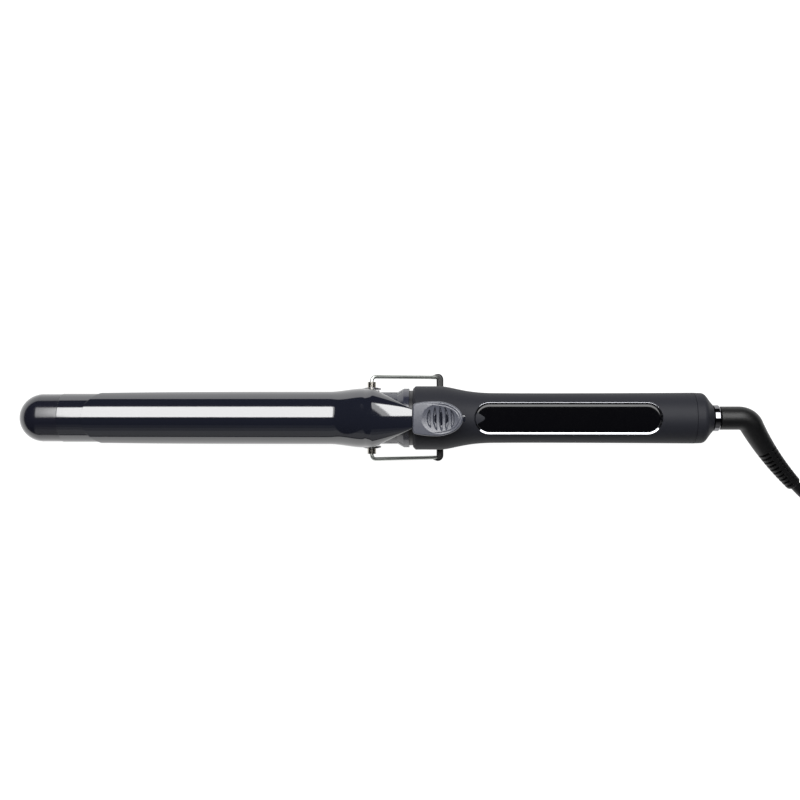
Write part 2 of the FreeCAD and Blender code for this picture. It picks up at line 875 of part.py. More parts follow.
def make_end_cap():
    start = handle_end_x + 0.05
    spigot_start = start - cap_spigot_length
    spigot_radius = grip_end_radius - handle_wall - 0.1
    bore = spigot_radius - 1.4
    rim = grip_end_radius
    outer = [V(start, 0, rim), V(cap_end_x - 5.6, 0, rim - 0.15)]
    dome = bezier([outer[1], V(cap_end_x - 3.4, 0, rim - 0.4), V(cap_end_x - 3.0, 0, rim - 2.6),
                   V(cap_end_x, 0, cap_face_radius)])
    corners = [V(cap_end_x, 0, cap_face_radius),
               V(cap_end_x, 0, core_radius + running_clearance),
               V(cap_end_x - cap_wall, 0, core_radius + running_clearance),
               V(cap_end_x - cap_wall, 0, bore),
               V(spigot_start, 0, bore),
               V(spigot_start, 0, spigot_radius),
               V(start, 0, spigot_radius),
               V(start, 0, rim)]
    edges = [Part.LineSegment(outer[0], outer[1]).toShape(), dome]
    for first, second in zip(corners, corners[1:]):
        edges.append(Part.LineSegment(first, second).toShape())
    return Part.Face(Part.Wire(edges)).revolve(ORIGIN, X_AXIS, 360)


brush_height = 1.5
brush_width = 3.0
slip_radius = core_radius + ring_height


def make_swivel_core():
    shaft = cyl_x(core_radius, core_start_x, collar_end_x)
    stub = cyl_x(core_stub_radius, collar_end_x - 0.1, boot_start_x + core_stub_length)
    clip_groove = pipe_x(core_radius + 1, core_radius - 0.8, core_start_x + 1, core_start_x + 1.8)
    hollow = cyl_x(2.0, core_start_x - 1, boot_start_x + core_stub_length + 1)
    return join([shaft, stub]).cut(clip_groove).cut(hollow)


def make_swivel_collar():
    flare = 0.25
    return turned([(collar_start_x, core_radius + 0.01), (collar_start_x, collar_radius - flare),
                   (collar_start_x + flare, collar_radius), (collar_end_x - 0.5, collar_radius),
                   (collar_end_x, collar_radius - 0.5), (collar_end_x, core_radius + 0.01)])


def make_slip_rings():
    return group([pipe_x(slip_radius, core_radius + 0.01, x, x + ring_length)
                  for x in (first_ring_x, second_ring_x)])


def make_retaining_clip():
    x0 = core_start_x + 1.05
    clip = pipe_x(core_radius + 1.6, core_radius - 0.75, x0, x0 + 0.7)
    return clip.cut(block(x0 - 1, x0 + 2, -1.6, 1.6, -10, 0))


def make_brush_holder():
    outer = grip_end_radius - handle_wall - 1.6
    frame = pipe_x(outer, outer - 1.3, first_ring_x - 0.8, second_ring_x + ring_length + 0.8)
    for x in (first_ring_x, second_ring_x):
        pocket = block(x - fit_gap, x + ring_length + fit_gap, -brush_width / 2 - fit_gap,
                       brush_width / 2 + fit_gap, -20, 20)
        frame = frame.cut(pocket)
    return frame


def make_brushes():
    outer = grip_end_radius - handle_wall - 1.65
    brushes = []
    for x, side in ((first_ring_x, 1), (second_ring_x, -1)):
        brush = block(x, x + ring_length, -brush_width / 2, brush_width / 2,
                      slip_radius - 0.5, outer).cut(cyl_x(slip_radius + 0.1, x - 1, x + 5))
        brush = brush.common(cyl_x(outer, x - 1, x + 5))
        if side < 0:
            brush = brush.mirror(ORIGIN, Z_AXIS)
        brushes.append(brush)
    return group(brushes)


def make_mains_leads():
    leads = []
    for y in (-6.9, 6.9):
        leads.append(tube([V(329.5, y * 0.9, 0.6), V(333.0, y, -1.5), V(341.5, y, -1.8)], lead_radius))
    return group(leads)


# ---------------------------------------------------------------- folding stand

def stand_frame():
    """Direction of the folded stand's arms, from the pivot to the middle of the foot."""
    foot_top = bulge_radius + foot_clearance
    middle = V(foot_x, 0, -(foot_top + foot_underside) / 2)
    pivot = V(pivot_x, 0, 0)
    return pivot, middle, (middle - pivot).normalize()


def make_stand_wire():
    pivot, middle, along = stand_frame()
    inner_y = barrel_radius + 1.4
    bend = stand_bend_radius
    side = stand_half_width
    corner = pivot + V(0, side, 0)
    low_corner = middle + V(0, side, 0)
    diagonal = bend * (1 - math.sqrt(0.5))
    arc_mid = corner - V(0, diagonal, 0) + along * diagonal
    low_mid = low_corner - V(0, diagonal, 0) - along * diagonal
    half = [Part.LineSegment(pivot + V(0, inner_y, 0), corner - V(0, bend, 0)).toShape(),
            Part.Arc(corner - V(0, bend, 0), arc_mid, corner + along * bend).toShape(),
            Part.LineSegment(corner + along * bend, low_corner - along * bend).toShape(),
            Part.Arc(low_corner - along * bend, low_mid, low_corner - V(0, bend, 0)).toShape(),
            Part.LineSegment(low_corner - V(0, bend, 0), middle).toShape()]
    path = Part.Wire(half)
    section = Part.Wire(Part.makeCircle(stand_wire_radius, pivot + V(0, inner_y, 0), Y_AXIS))
    arm = path.makePipeShell([section], True, False)
    return join([arm, mirror_y(arm)])


def floor_height(x):
    """Level of the table under the resting iron, in the iron's own frame."""
    return -(tip_radius + (x - tip_radius) * tilt_sin) / tilt_cos


def make_stand_foot():
    front = foot_x - foot_bar_length / 2
    rear = foot_x + foot_bar_length / 2
    top = -(bulge_radius + foot_clearance)
    claw_front = front - foot_claw_length
    side_view = plate_xz([(claw_front - 1, top), (rear, top), (rear, floor_height(rear)),
                          (claw_front - 1, floor_height(claw_front - 1))], -30, 30)
    claw_inner = stand_half_width - 3.6
    wire = stand_half_width
    notch = front - 1.6
    half_plan = plate_xy([(front, 0), (rear, 0), (rear, foot_half_width - 1.2),
                          (rear - 1.2, foot_half_width), (claw_front, foot_half_width - 0.4),
                          (notch, wire + 0.9), (notch, wire - 0.9),
                          (claw_front + 1.2, claw_inner + 0.9), (front, claw_inner - 0.8)], -25, 0)
    plan = join([half_plan, mirror_y(half_plan)])
    foot = plan.common(side_view)
    middle = stand_frame()[1]
    channel = Part.makeCylinder(stand_wire_radius + 0.02, 2 * (stand_half_width - stand_bend_radius),
                                middle - V(0, stand_half_width - stand_bend_radius, 0), Y_AXIS)
    return foot.cut(channel).cut(make_stand_wire())


# ---------------------------------------------------------------- cord boot

def boot_frame(distance):
    """Point and direction on the boot's centre line, at a distance from its start."""
    roll = math.radians(boot_roll)
    sideways = V(0, -math.cos(roll), -math.sin(roll))
    bend = math.radians(boot_bend_angle)
    bend_length = boot_bend_radius * bend
    start = V(boot_start_x, 0, 0)

    def mix(along, across):
        return X_AXIS * along + sideways * across

    if distance <= boot_straight:
        return start + X_AXIS * distance, X_AXIS
    if distance <= boot_straight + bend_length:
        angle = (distance - boot_straight) / boot_bend_radius
        offset = mix(boot_straight + boot_bend_radius * math.sin(angle),
                     boot_bend_radius * (1 - math.cos(angle)))
        return start + offset, mix(math.cos(angle), math.sin(angle))
    corner = mix(boot_straight + boot_bend_radius * math.sin(bend),
                 boot_bend_radius * (1 - math.cos(bend)))
    run = distance - boot_straight - bend_length
    relax = math.radians(boot_relax_angle)
    radius = boot_leg_length / relax
    angle = run / radius
    leg_along = radius * math.sin(angle)
    leg_back = radius * (1 - math.cos(angle))
    way = mix(math.cos(bend), math.sin(bend))
    back = mix(math.sin(bend), -math.cos(bend))
    return (start + corner + way * leg_along + back * leg_back,
            way * math.cos(angle) + back * math.sin(angle))


boot_length = boot_straight + boot_bend_radius * math.radians(boot_bend_angle) + boot_leg_length


def boot_radius_at(distance):
    leg_start = boot_length - boot_leg_length
    if distance <= leg_start:
        return boot_radius
    u = (distance - leg_start) / boot_leg_length
    return boot_radius + (boot_end_radius - boot_radius) * u ** 0.9


def make_cord_boot():
    leg_start = boot_length - boot_leg_length
    straight = cyl_x(boot_radius, boot_start_x, boot_start_x + boot_straight)
    bend_start, way = boot_frame(boot_straight)
    ahead, ahead_way = boot_frame(leg_start)
    turn_axis = way.cross(ahead_way).normalize()
    centre_way = turn_axis.cross(way).normalize()
    centre = bend_start + centre_way * boot_bend_radius
    disc = Part.Face(Part.Wire(Part.makeCircle(boot_radius, bend_start, way)))
    elbow = disc.revolve(centre, turn_axis, boot_bend_angle)
    circles = []
    steps = 8
    for index in range(steps + 1):
        distance = leg_start + boot_leg_length * index / steps
        point, direction = boot_frame(distance)
        circles.append(Part.Wire(Part.makeCircle(boot_radius_at(distance), point, direction)))
    leg = Part.makeLoft(circles, True, False)
    boot = straight.fuse(elbow).fuse(leg)
    boot = boot.cut(cyl_x(core_stub_radius + 0.02, boot_start_x - 1,
                          boot_start_x + core_stub_length + 0.1))
    for index in range(boot_slot_count):
        distance = boot_length - 2.6 - boot_slot_pitch * index
        boot = boot.cut(boot_slot(distance, 1)).cut(boot_slot(distance, -1))
    return boot


def boot_slot(distance, side):
    """Cut on one flank of the boot, square to its centre line, that leaves a middle spine."""
    point, way = boot_frame(distance)
    across = way.cross(Z_AXIS).normalize()
    upward = across.cross(way).normalize()
    start = boot_slot_spine
    reach = boot_radius * 2
    corner = point + upward * (-reach) + across * (start * side) - way * (boot_slot_width / 2)
    corners = [corner, corner + across * (reach * side),
               corner + across * (reach * side) + upward * (2 * reach),
               corner + upward * (2 * reach), corner]
    face = Part.Face(Part.makePolygon(corners))
    return face.extrude(way * boot_slot_width)


# ---------------------------------------------------------------- placing on the table

shift_z = tip_radius - tip_radius * tilt_sin


def lean(point):
    """A point of the iron's own frame, on the leaning iron (tip over x = 0)."""
    return V(point.x * tilt_cos - point.z * tilt_sin, point.y,
             point.x * tilt_sin + point.z * tilt_cos + shift_z)


def lean_way(way):
    return V(way.x * tilt_cos - way.z * tilt_sin, way.y, way.x * tilt_sin + way.z * tilt_cos)


def rest(shape):
    placed = shape.copy()
    placed.rotate(ORIGIN, Y_AXIS, -math.degrees(rest_tilt))
    placed.translate(V(0, 0, shift_z))
    return placed


# ---------------------------------------------------------------- cord on the table

hank_width = hank_strands_wide * cord_diameter
hank_height = cord_diameter * hank_strands_high
outer_strand_radius = hank_fold_radius + cord_diameter * (hank_strands_wide - 1) / 2


def lead_points():
    """Cord from the boot's end, down beside the hank, then along the hank's outer near strand."""
    end, way = boot_frame(boot_length)
    start = lean(end)
    way = lean_way(way)
    strand_y = hank_centre_y - outer_strand_radius
    corner = start + way * ((strand_y - start.y) / way.y)
    return [start, corner, V(corner.x + lead_landing_run, strand_y, cord_radius)]


hank_left_x = lead_points()[1].x + hank_gap_from_lead_bend
hank_right_x = hank_left_x + hank_straight
hank_centre_x = (hank_left_x + hank_right_x) / 2


def make_cord_hank():
    outer = hank_fold_radius + hank_width / 2
    inner = hank_fold_radius - hank_width / 2
    ring = stadium(hank_centre_x, hank_centre_y, hank_straight + 2 * outer, 2 * outer, 0, hank_height)
    hole = stadium(hank_centre_x, hank_centre_y, hank_straight + 2 * inner, 2 * inner,
                   -1, hank_height + 1)
    ring = ring.cut(hole)
    rims = [edge for edge in ring.Edges
            if abs(edge.BoundBox.ZMin - edge.BoundBox.ZMax) < 0.01]
    return ring.makeFillet(cord_radius * 0.9, rims)


def make_cord_lead():
    lead = tube(lead_points(), cord_radius, "cord_lead")
    return lead.cut(make_cord_hank())


plug_axis_z = hank_height + plug_height / 2


def tail_points():
    """Cord from the hank's near straight up to the plug that lies on its top."""
    y = hank_centre_y - outer_strand_radius
    level = hank_height - cord_radius
    plug_y = hank_centre_y + plug_entry_aside
    entry_x = hank_left_x + plug_entry_ahead
    start = V(hank_left_x - 6.0, y + 0.7, level - 0.7)
    climb = V(hank_left_x + 18.0, y + 2.2, level + 3.9)
    settle = V(entry_x - tail_final_run, plug_y, plug_axis_z)
    return [start, climb, settle, V(entry_x, plug_y, plug_axis_z)]


def make_cord_tail():
    tail = tube(tail_points(), cord_radius, "cord_tail")
    return tail.cut(make_cord_hank()).cut(make_plug_body())


def plug_place(shape):
    """Moves a shape from the plug's own frame (cord entry at the origin) to lie on the hank."""
    placed = shape.copy()
    placed.translate(tail_points()[-1])
    return placed


def make_plug_body():
    relief = Part.makeCone(cord_radius + 1.0, cord_radius + 2.4, plug_boot_length, ORIGIN, X_AXIS)
    half = plug_height / 2
    x0 = plug_boot_length - 0.5
    x1 = plug_boot_length + plug_length
    wide = plug_width / 2
    plan = plate_xy([(x0, -6.5), (x0 + 9, -wide + 3), (x1 - 3, -wide), (x1, -wide),
                     (x1, wide), (x1 - 3, wide), (x0 + 9, wide - 3), (x0, 6.5)], -half, half)
    plan = plan.makeChamfer(1.2, [edge for edge in plan.Edges
                                  if edge.BoundBox.ZLength < 0.01 and edge.BoundBox.XMin < x1 - 4])
    body = join([relief, plan])
    for side in (-1, 1):
        body = body.cut(cyl_x(plug_pin_root + 0.01, x1 - 10, x1 + 1, side * plug_pin_spacing / 2))
    return plug_place(body)


def make_plug_pins():
    start = plug_boot_length + plug_length
    pins = []
    for side in (-1, 1):
        y = side * plug_pin_spacing / 2
        root = cyl_x(plug_pin_root, start - 9.9, start + 1, y)
        shank = cyl_x(plug_pin_radius, start, start + plug_pin_length - 1.0, y)
        nose = Part.makeCone(plug_pin_radius, plug_pin_radius - 0.7, 1.0,
                             V(start + plug_pin_length - 1.0, y, 0), X_AXIS)
        pins.append(plug_place(join([root, shank, nose])))
    return group(pins)


def make_cord_tie():
    wall = 0.8
    half = hank_width / 2 + 0.2
    y = hank_centre_y + hank_fold_radius
    outer = block(hank_centre_x - 3.5, hank_centre_x + 3.5, y - half - wall, y + half + wall,
                  0, hank_height + 0.2 + wall)
    inner = block(hank_centre_x - 9, hank_centre_x + 9, y - half, y + half, -1, hank_height + 0.2)
    return outer.cut(inner)


# ---------------------------------------------------------------- all the nodes

iron_nodes = {
    "cool_tip": make_cool_tip,
    "barrel": make_barrel,
    "heat_shield": make_heat_shield,
    "spreader_upper": make_spreader_upper,
    "spreader_lower": make_spreader_lower,
    "ptc_stones": make_ptc_stones,
    "electrode_upper": lambda: make_electrode(1),
    "electrode_lower": lambda: make_electrode(-1),
    "insulating_films": make_films,
    "thermistor": make_thermistor,
    "thermal_fuse": make_thermal_fuse,
    "base_bush": make_base_bush,
    "hinge_bracket": make_hinge_bracket,
    "pivot_bushes": make_pivot_bushes,
    "pivot_washers": make_pivot_washers,
    "spring_seat": make_spring_seat,
    "clamp_spring": make_clamp_spring,
    "clamp_plate": make_clamp_plate,
    "lever_pad": make_lever_pad,
    "lever_screw": make_lever_screw,
    "handle_upper": make_handle_upper,
    "handle_lower": make_handle_lower,
    "handle_screws": make_handle_screws,
    "window_bezel": make_window_bezel,
    "display_lens": make_display_lens,
    "control_board": make_control_board,
    "display_module": make_display_module,
    "controller_chip": make_controller_chip,
    "touch_springs": make_touch_springs,
    "triac": make_triac,
    "filter_capacitor": make_filter_capacitor,
    "reservoir_capacitor": make_reservoir_capacitor,
    "dropper_resistor": make_dropper_resistor,
    "board_fuse": make_board_fuse,
    "lead_connector": make_lead_connector,
    "heater_leads": make_heater_leads,
    "sensor_leads": make_sensor_leads,
    "end_cap": make_end_cap,
    "brush_holder": make_brush_holder,
    "brushes": make_brushes,
    "mains_leads": make_mains_leads,
    "stand_wire": make_stand_wire,
    "stand_foot": make_stand_foot,
    "swivel_core": make_swivel_core,
    "swivel_collar": make_swivel_collar,
    "slip_rings": make_slip_rings,
    "retaining_clip": make_retaining_clip,
    "cord_boot": make_cord_boot,
}
table_nodes = {
    "cord_lead": make_cord_lead,
    "cord_hank": make_cord_hank,
    "cord_tie": make_cord_tie,
    "cord_tail": make_cord_tail,
    "plug_body": make_plug_body,
    "plug_pins": make_plug_pins,
}


def main():
    os.makedirs("parts", exist_ok=True)
    shapes = {}
    for name, maker in iron_nodes.items():
        shapes[name] = rest(maker())
    low = 1e9
    high = -1e9
    for name, shape in shapes.items():
        if name != "cord_boot":
            bounds = shape.optimalBoundingBox(False)
            low = min(low, bounds.XMin)
            high = max(high, bounds.XMax)
    for name, maker in table_nodes.items():
        shapes[name] = maker()
    middle = (low + high) / 2
    print("origin at station %.3f mm behind the tip, tilt %.4f deg" % (middle, math.degrees(rest_tilt)))
    pin_point = tail_points()[-1] + V(plug_boot_length + plug_length + (plug_pin_length - 1) / 2, 0, 0)
    print("plug pins at %.3f %.3f %.3f mm" % (pin_point.x - middle, pin_point.y, pin_point.z))
    for name, point in (("clamp and stand pivot", V(pivot_x, 0, 0)),
                        ("spring seat top", V(spring_x, 0, bracket_outer + seat_height)),
                        ("swivel centre", V(cap_end_x, 0, 0)),
                        ("foot middle", V(foot_x, 0, floor_height(foot_x)))):
        placed = lean(point) - V(middle, 0, 0)
        print("%s at %.3f %.3f %.3f mm" % (name, placed.x, placed.y, placed.z))
    for name, shape in shapes.items():
        shape.translate(V(-middle, 0, 0))
        shape.exportStep("parts/%s.step" % name)
        print("%-20s solids %d volume %.1f valid %s"
              % (name, len(shape.Solids), shape.Volume, shape.isValid()))


main()
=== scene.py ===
"""Looks of a clamp curling iron: its visible pieces, their finishes, the cord and the stage."""

import json
import math

import bmesh
import bpy
import numpy as np
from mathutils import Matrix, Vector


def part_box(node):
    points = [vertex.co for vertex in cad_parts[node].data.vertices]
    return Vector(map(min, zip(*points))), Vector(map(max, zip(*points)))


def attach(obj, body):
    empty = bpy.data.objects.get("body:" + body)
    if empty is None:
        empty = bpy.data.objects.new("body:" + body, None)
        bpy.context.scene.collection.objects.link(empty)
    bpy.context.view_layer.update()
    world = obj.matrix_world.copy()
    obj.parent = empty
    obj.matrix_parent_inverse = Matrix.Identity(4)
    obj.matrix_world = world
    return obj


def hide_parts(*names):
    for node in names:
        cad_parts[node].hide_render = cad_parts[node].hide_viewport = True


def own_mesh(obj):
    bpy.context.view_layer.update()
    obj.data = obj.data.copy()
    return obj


bl_info = {
    "name": "Curling Iron Maker",
    "version": (1, 0, 0),
    "blender": (4, 5, 0),
    "location": "View3D > Sidebar > Curling Iron",
    "description": "Makes the pieces, finishes and stage of a clamp curling iron",
    "category": "Object",
}

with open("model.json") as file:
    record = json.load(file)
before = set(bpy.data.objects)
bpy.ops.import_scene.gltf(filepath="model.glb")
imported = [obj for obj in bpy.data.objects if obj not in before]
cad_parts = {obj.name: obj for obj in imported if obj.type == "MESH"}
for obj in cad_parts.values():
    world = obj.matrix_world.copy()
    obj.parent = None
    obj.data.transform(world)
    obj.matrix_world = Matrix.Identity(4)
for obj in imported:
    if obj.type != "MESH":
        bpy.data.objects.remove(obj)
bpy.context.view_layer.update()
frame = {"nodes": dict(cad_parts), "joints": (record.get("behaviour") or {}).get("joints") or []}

MM = 0.001


# ---------------------------------------------------------------- places on the iron

def joint_entry(name):
    for entry in frame["joints"]:
        if entry["name"] == name:
            return entry
    raise RuntimeError("the frame has no joint " + name)


HINGE = np.array(joint_entry("clamp_hinge")["pos_m"])
ALONG = np.array(joint_entry("cord_swivel")["axis"])
ALONG = ALONG / np.linalg.norm(ALONG)
ACROSS = np.array((0.0, 1.0, 0.0))
ABOVE = np.cross(ALONG, ACROSS)


def on_iron(station, across, above):
    """Points in mm: station behind the tip along the barrel's axis, then sideways, then up."""
    station, across, above = np.broadcast_arrays(station, across, above)
    behind_hinge = (station - sizes().hinge_station / MM) * MM
    return (HINGE + behind_hinge[..., None] * ALONG + (across * MM)[..., None] * ACROSS
            + (above * MM)[..., None] * ABOVE)


def on_pad(x, y, z):
    """Points given in mm in the lever pad's own frame, which starts on the neck and slopes up."""
    slope = sizes().pad_slope
    x, y, z = np.broadcast_arrays(x, y, z)
    station = PAD_START + x * math.cos(slope) - z * math.sin(slope)
    above = PAD_BOTTOM + x * math.sin(slope) + z * math.cos(slope)
    return on_iron(station, y, above)


# Stations and levels in mm on the iron that several pieces share.
PAD_START = 204.0
PAD_BOTTOM = 21.6
FLARE_START = 160.5
FLARE_LENGTH = 17.5
CLAMP_FRONT = 35.4
CLAMP_NOSE = 11.5
CLAMP_TOP = 13.5
NECK_TOP = 23.4
EAR_WIDTH = 15.15
NECK_WIDTH = 4.6
HANDLE_START = 203.4
HANDLE_END = 345.0
BULGE_END = 216.5
GRIP_START = 246.0
WINDOW_CENTRE = 281.0
SPRING_STATION = 191.6
SPRING_SEAT = 13.9
BOOT_START = 358.4
LENS_LEVEL = 11.1


# ---------------------------------------------------------------- colours

def linear(hex_colour):
    """sRGB hex to linear: each channel c becomes ((c + 0.055) / 1.055) to the power 2.4."""
    channels = np.array([int(hex_colour[i:i + 2], 16) / 255 for i in (0, 2, 4)])
    low = channels / 12.92
    high = ((channels + 0.055) / 1.055) ** 2.4
    return tuple(float(v) for v in np.where(channels <= 0.04045, low, high))


def length_property(name, description, default):
    return bpy.props.FloatProperty(name=name, description=description, default=default,
                                   unit="LENGTH", subtype="DISTANCE", precision=5)


def colour_property(name, description, hex_colour):
    return bpy.props.FloatVectorProperty(name=name, description=description, size=3, min=0.0,
                                         max=1.0, default=linear(hex_colour), subtype="COLOR")


class IronSizes(bpy.types.PropertyGroup):
    hinge_station: length_property("Hinge station", "Hinge axis behind the tip's end", 0.1822)
    barrel_radius: length_property("Barrel radius", "Outside radius of the heated tube", 0.0125)
    tip_radius: length_property("Tip radius", "Outside radius of the cool tip", 0.0123)
    sheet: length_property("Clamp sheet", "Thickness of the clamp's metal", 0.0008)
    pad_length: length_property("Pad length", "Length of the thumb pad", 0.0249)
    pad_width: length_property("Pad width", "Width of the thumb pad", 0.0171)
    pad_thickness: length_property("Pad thickness", "Thickness of the thumb pad", 0.0031)
    pad_slope: bpy.props.FloatProperty(name="Pad slope", description="Rise of the thumb pad",
                                       default=math.radians(8.6), subtype="ANGLE", unit="ROTATION")
    groove_depth: length_property("Groove depth", "Depth of the pad's thumb grooves", 0.0015)
    bulge_radius: length_property("Bulge radius", "Handle radius at its front", 0.0162)
    grip_radius: length_property("Grip radius", "Handle radius behind the bulge", 0.0127)
    window_length: length_property("Window length", "Length over the window's trim", 0.0942)
    window_width: length_property("Window width", "Width over the window's trim", 0.0161)
    wire_radius: length_property("Stand wire radius", "Radius of the folding stand's wire", 0.001)
    boot_radius: length_property("Boot radius", "Radius of the cord boot at the swivel", 0.0059)
    cord_diameter: length_property("Cord diameter", "Diameter of the mains cord", 0.0054)
    cord_length: length_property("Cord length", "Real length of the mains cord", 1.7)


class IronColours(bpy.types.PropertyGroup):
    coating: colour_property("Coating", "Ceramic coat of barrel and clamp", "14161F")
    grip: colour_property("Grip", "Soft-touch coat of the handle", "1B1C22")
    lever: colour_property("Lever", "Moulded thumb pad", "454750")
    rubber: colour_property("Rubber", "Cord and boot", "060607")
    floor: colour_property("Floor", "Studio floor", "FFFFFF")


def sizes():
    return bpy.context.scene.iron_sizes


def colours():
    return bpy.context.scene.iron_colours


# ---------------------------------------------------------------- surfaces

def grid_faces(rows, columns, wrap_rows, wrap_columns):
    """Quads of a grid: each takes a point, the one below, the one below-right and the one right."""
    r, c = np.meshgrid(np.arange(rows if wrap_rows else rows - 1),
                       np.arange(columns if wrap_columns else columns - 1), indexing="ij")
    below = (r + 1) % rows
    right = (c + 1) % columns
    quads = [r * columns + c, below * columns + c, below * columns + right, r * columns + right]
    return np.stack(quads, axis=-1).reshape(-1, 4)


def smooth_mesh(mesh, sharp_angle):
    """Merges doubles, points the faces outward and shades smooth except past an angle."""
    work = bmesh.new()
    work.from_mesh(mesh)
    bmesh.ops.remove_doubles(work, verts=work.verts, dist=1e-6)
    bmesh.ops.dissolve_degenerate(work, dist=1e-7, edges=work.edges)
    bmesh.ops.recalc_face_normals(work, faces=work.faces)
    work.to_mesh(mesh)
    work.free()
    mesh.polygons.foreach_set("use_smooth", np.ones(len(mesh.polygons), dtype=bool))
    mesh.set_sharp_from_angle(angle=math.radians(sharp_angle))


def make_piece(name, patches, body, slot, replaces, sharp_angle=40.0):
    """Builds one object from grids of points, each with its two wrap flags, and rides it."""
    points = []
    faces = []
    start = 0
    for grid, wrap_rows, wrap_columns in patches:
        rows, columns = grid.shape[:2]
        points.append(grid.reshape(-1, 3))
        faces.append(grid_faces(rows, columns, wrap_rows, wrap_columns) + start)
        start += rows * columns
    mesh = bpy.data.meshes.new(name)
    mesh.from_pydata(np.concatenate(points).tolist(), [], np.concatenate(faces).tolist())
    smooth_mesh(mesh, sharp_angle)
    piece = bpy.data.objects.new(name, mesh)
    bpy.context.scene.collection.objects.link(piece)
    mesh.materials.append(finish_for(slot))
    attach(piece, body)
    if replaces:
        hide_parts(*replaces)
    return piece


def smoothstep(value):
    value = np.clip(value, 0.0, 1.0)
    return value * value * (3 - 2 * value)


def round_off(share):
    """Drop of a unit quarter round, 1 - sqrt(1 - s^2), for a share s held within 0 and 1."""
    return 1 - np.sqrt(1 - np.clip(share, 0.0, 1.0) ** 2)


def bent(value, power):
    """Superellipse factor sgn(v) |v|^(2/n) of a cosine or sine."""
    return np.sign(value) * np.abs(value) ** (2 / power)


def capped(rings):
    """Rings of points, with both ends gathered at the middle of the end rings."""
    middle = rings.mean(axis=1, keepdims=True)
    first = np.repeat(middle[:1], rings.shape[1], axis=1)
    last = np.repeat(middle[-1:], rings.shape[1], axis=1)
    return np.concatenate([first, rings, last], axis=0)


def box_mm(node):
    """Low and high corners of one of the frame's nodes in mm."""
    return tuple(np.array(corner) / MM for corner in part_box(node))


def bezier(poles, steps):
    """Points on a cubic Bezier curve: the four poles weighted by the Bernstein polynomials."""
    t = np.linspace(0, 1, steps)[:, None]
    a, b, c, d = (np.array(pole, dtype=float) for pole in poles)
    return (1 - t) ** 3 * a + 3 * t * (1 - t) ** 2 * b + 3 * t * t * (1 - t) * c + t ** 3 * d


def eased(corners, radius, steps=6, closed=True):
    """Outline with eased corners: from a trim point before each corner to one after it runs the
    quadratic curve (1-t)^2 a + 2t(1-t) corner + t^2 b, with a support point on either side."""
    corners = np.array(corners, dtype=float)
    before = np.roll(corners, 1, axis=0)
    after = np.roll(corners, -1, axis=0)
    into = corners - before
    out = after - corners
    into_length = np.linalg.norm(into, axis=1, keepdims=True)
    out_length = np.linalg.norm(out, axis=1, keepdims=True)
    radius = np.broadcast_to(np.array(radius, dtype=float).reshape(-1, 1), (len(corners), 1))
    trim = np.minimum(radius, 0.4 * np.minimum(into_length, out_length))
    a = corners - into / into_length * trim
    b = corners + out / out_length * trim
    t = np.linspace(0, 1, steps)[None, :, None]
    curve = (1 - t) ** 2 * a[:, None] + 2 * t * (1 - t) * corners[:, None] + t * t * b[:, None]
    lead = (corners - into / into_length * trim * 1.2)[:, None]
    trail = (corners + out / out_length * trim * 1.2)[:, None]
    curve = np.concatenate([lead, curve, trail], axis=1)
    if not closed:
        inner = curve[1:-1].reshape(-1, corners.shape[1])
        return np.concatenate([corners[:1], inner, corners[-1:]])
    return curve.reshape(-1, corners.shape[1])


def turned(profile, steps=128):
    """Surface of revolution about the iron's axis of a closed (station, radius) outline in mm."""
    angle = np.linspace(0, 2 * np.pi, steps, endpoint=False)[:, None]
    station = profile[None, :, 0]
    radius = profile[None, :, 1]
    return on_iron(station, radius * np.cos(angle), radius * np.sin(angle)), True, True


def tube_along(path, normal, radius, steps=20):
    """Circle carried along a path that lies in one plane: each ring is the path's point plus
    radius times (cos v * side + sin v * plane normal), and the two ends close to a point."""
    way = np.gradient(path, axis=0)
    way /= np.linalg.norm(way, axis=1, keepdims=True)
    side = np.cross(way, normal)
    angle = np.linspace(0, 2 * np.pi, steps, endpoint=False)[None, :, None]
    rings = (path[:, None] + radius * (np.cos(angle) * side[:, None]
                                       + np.sin(angle) * normal[None, None]))
    return capped(rings)


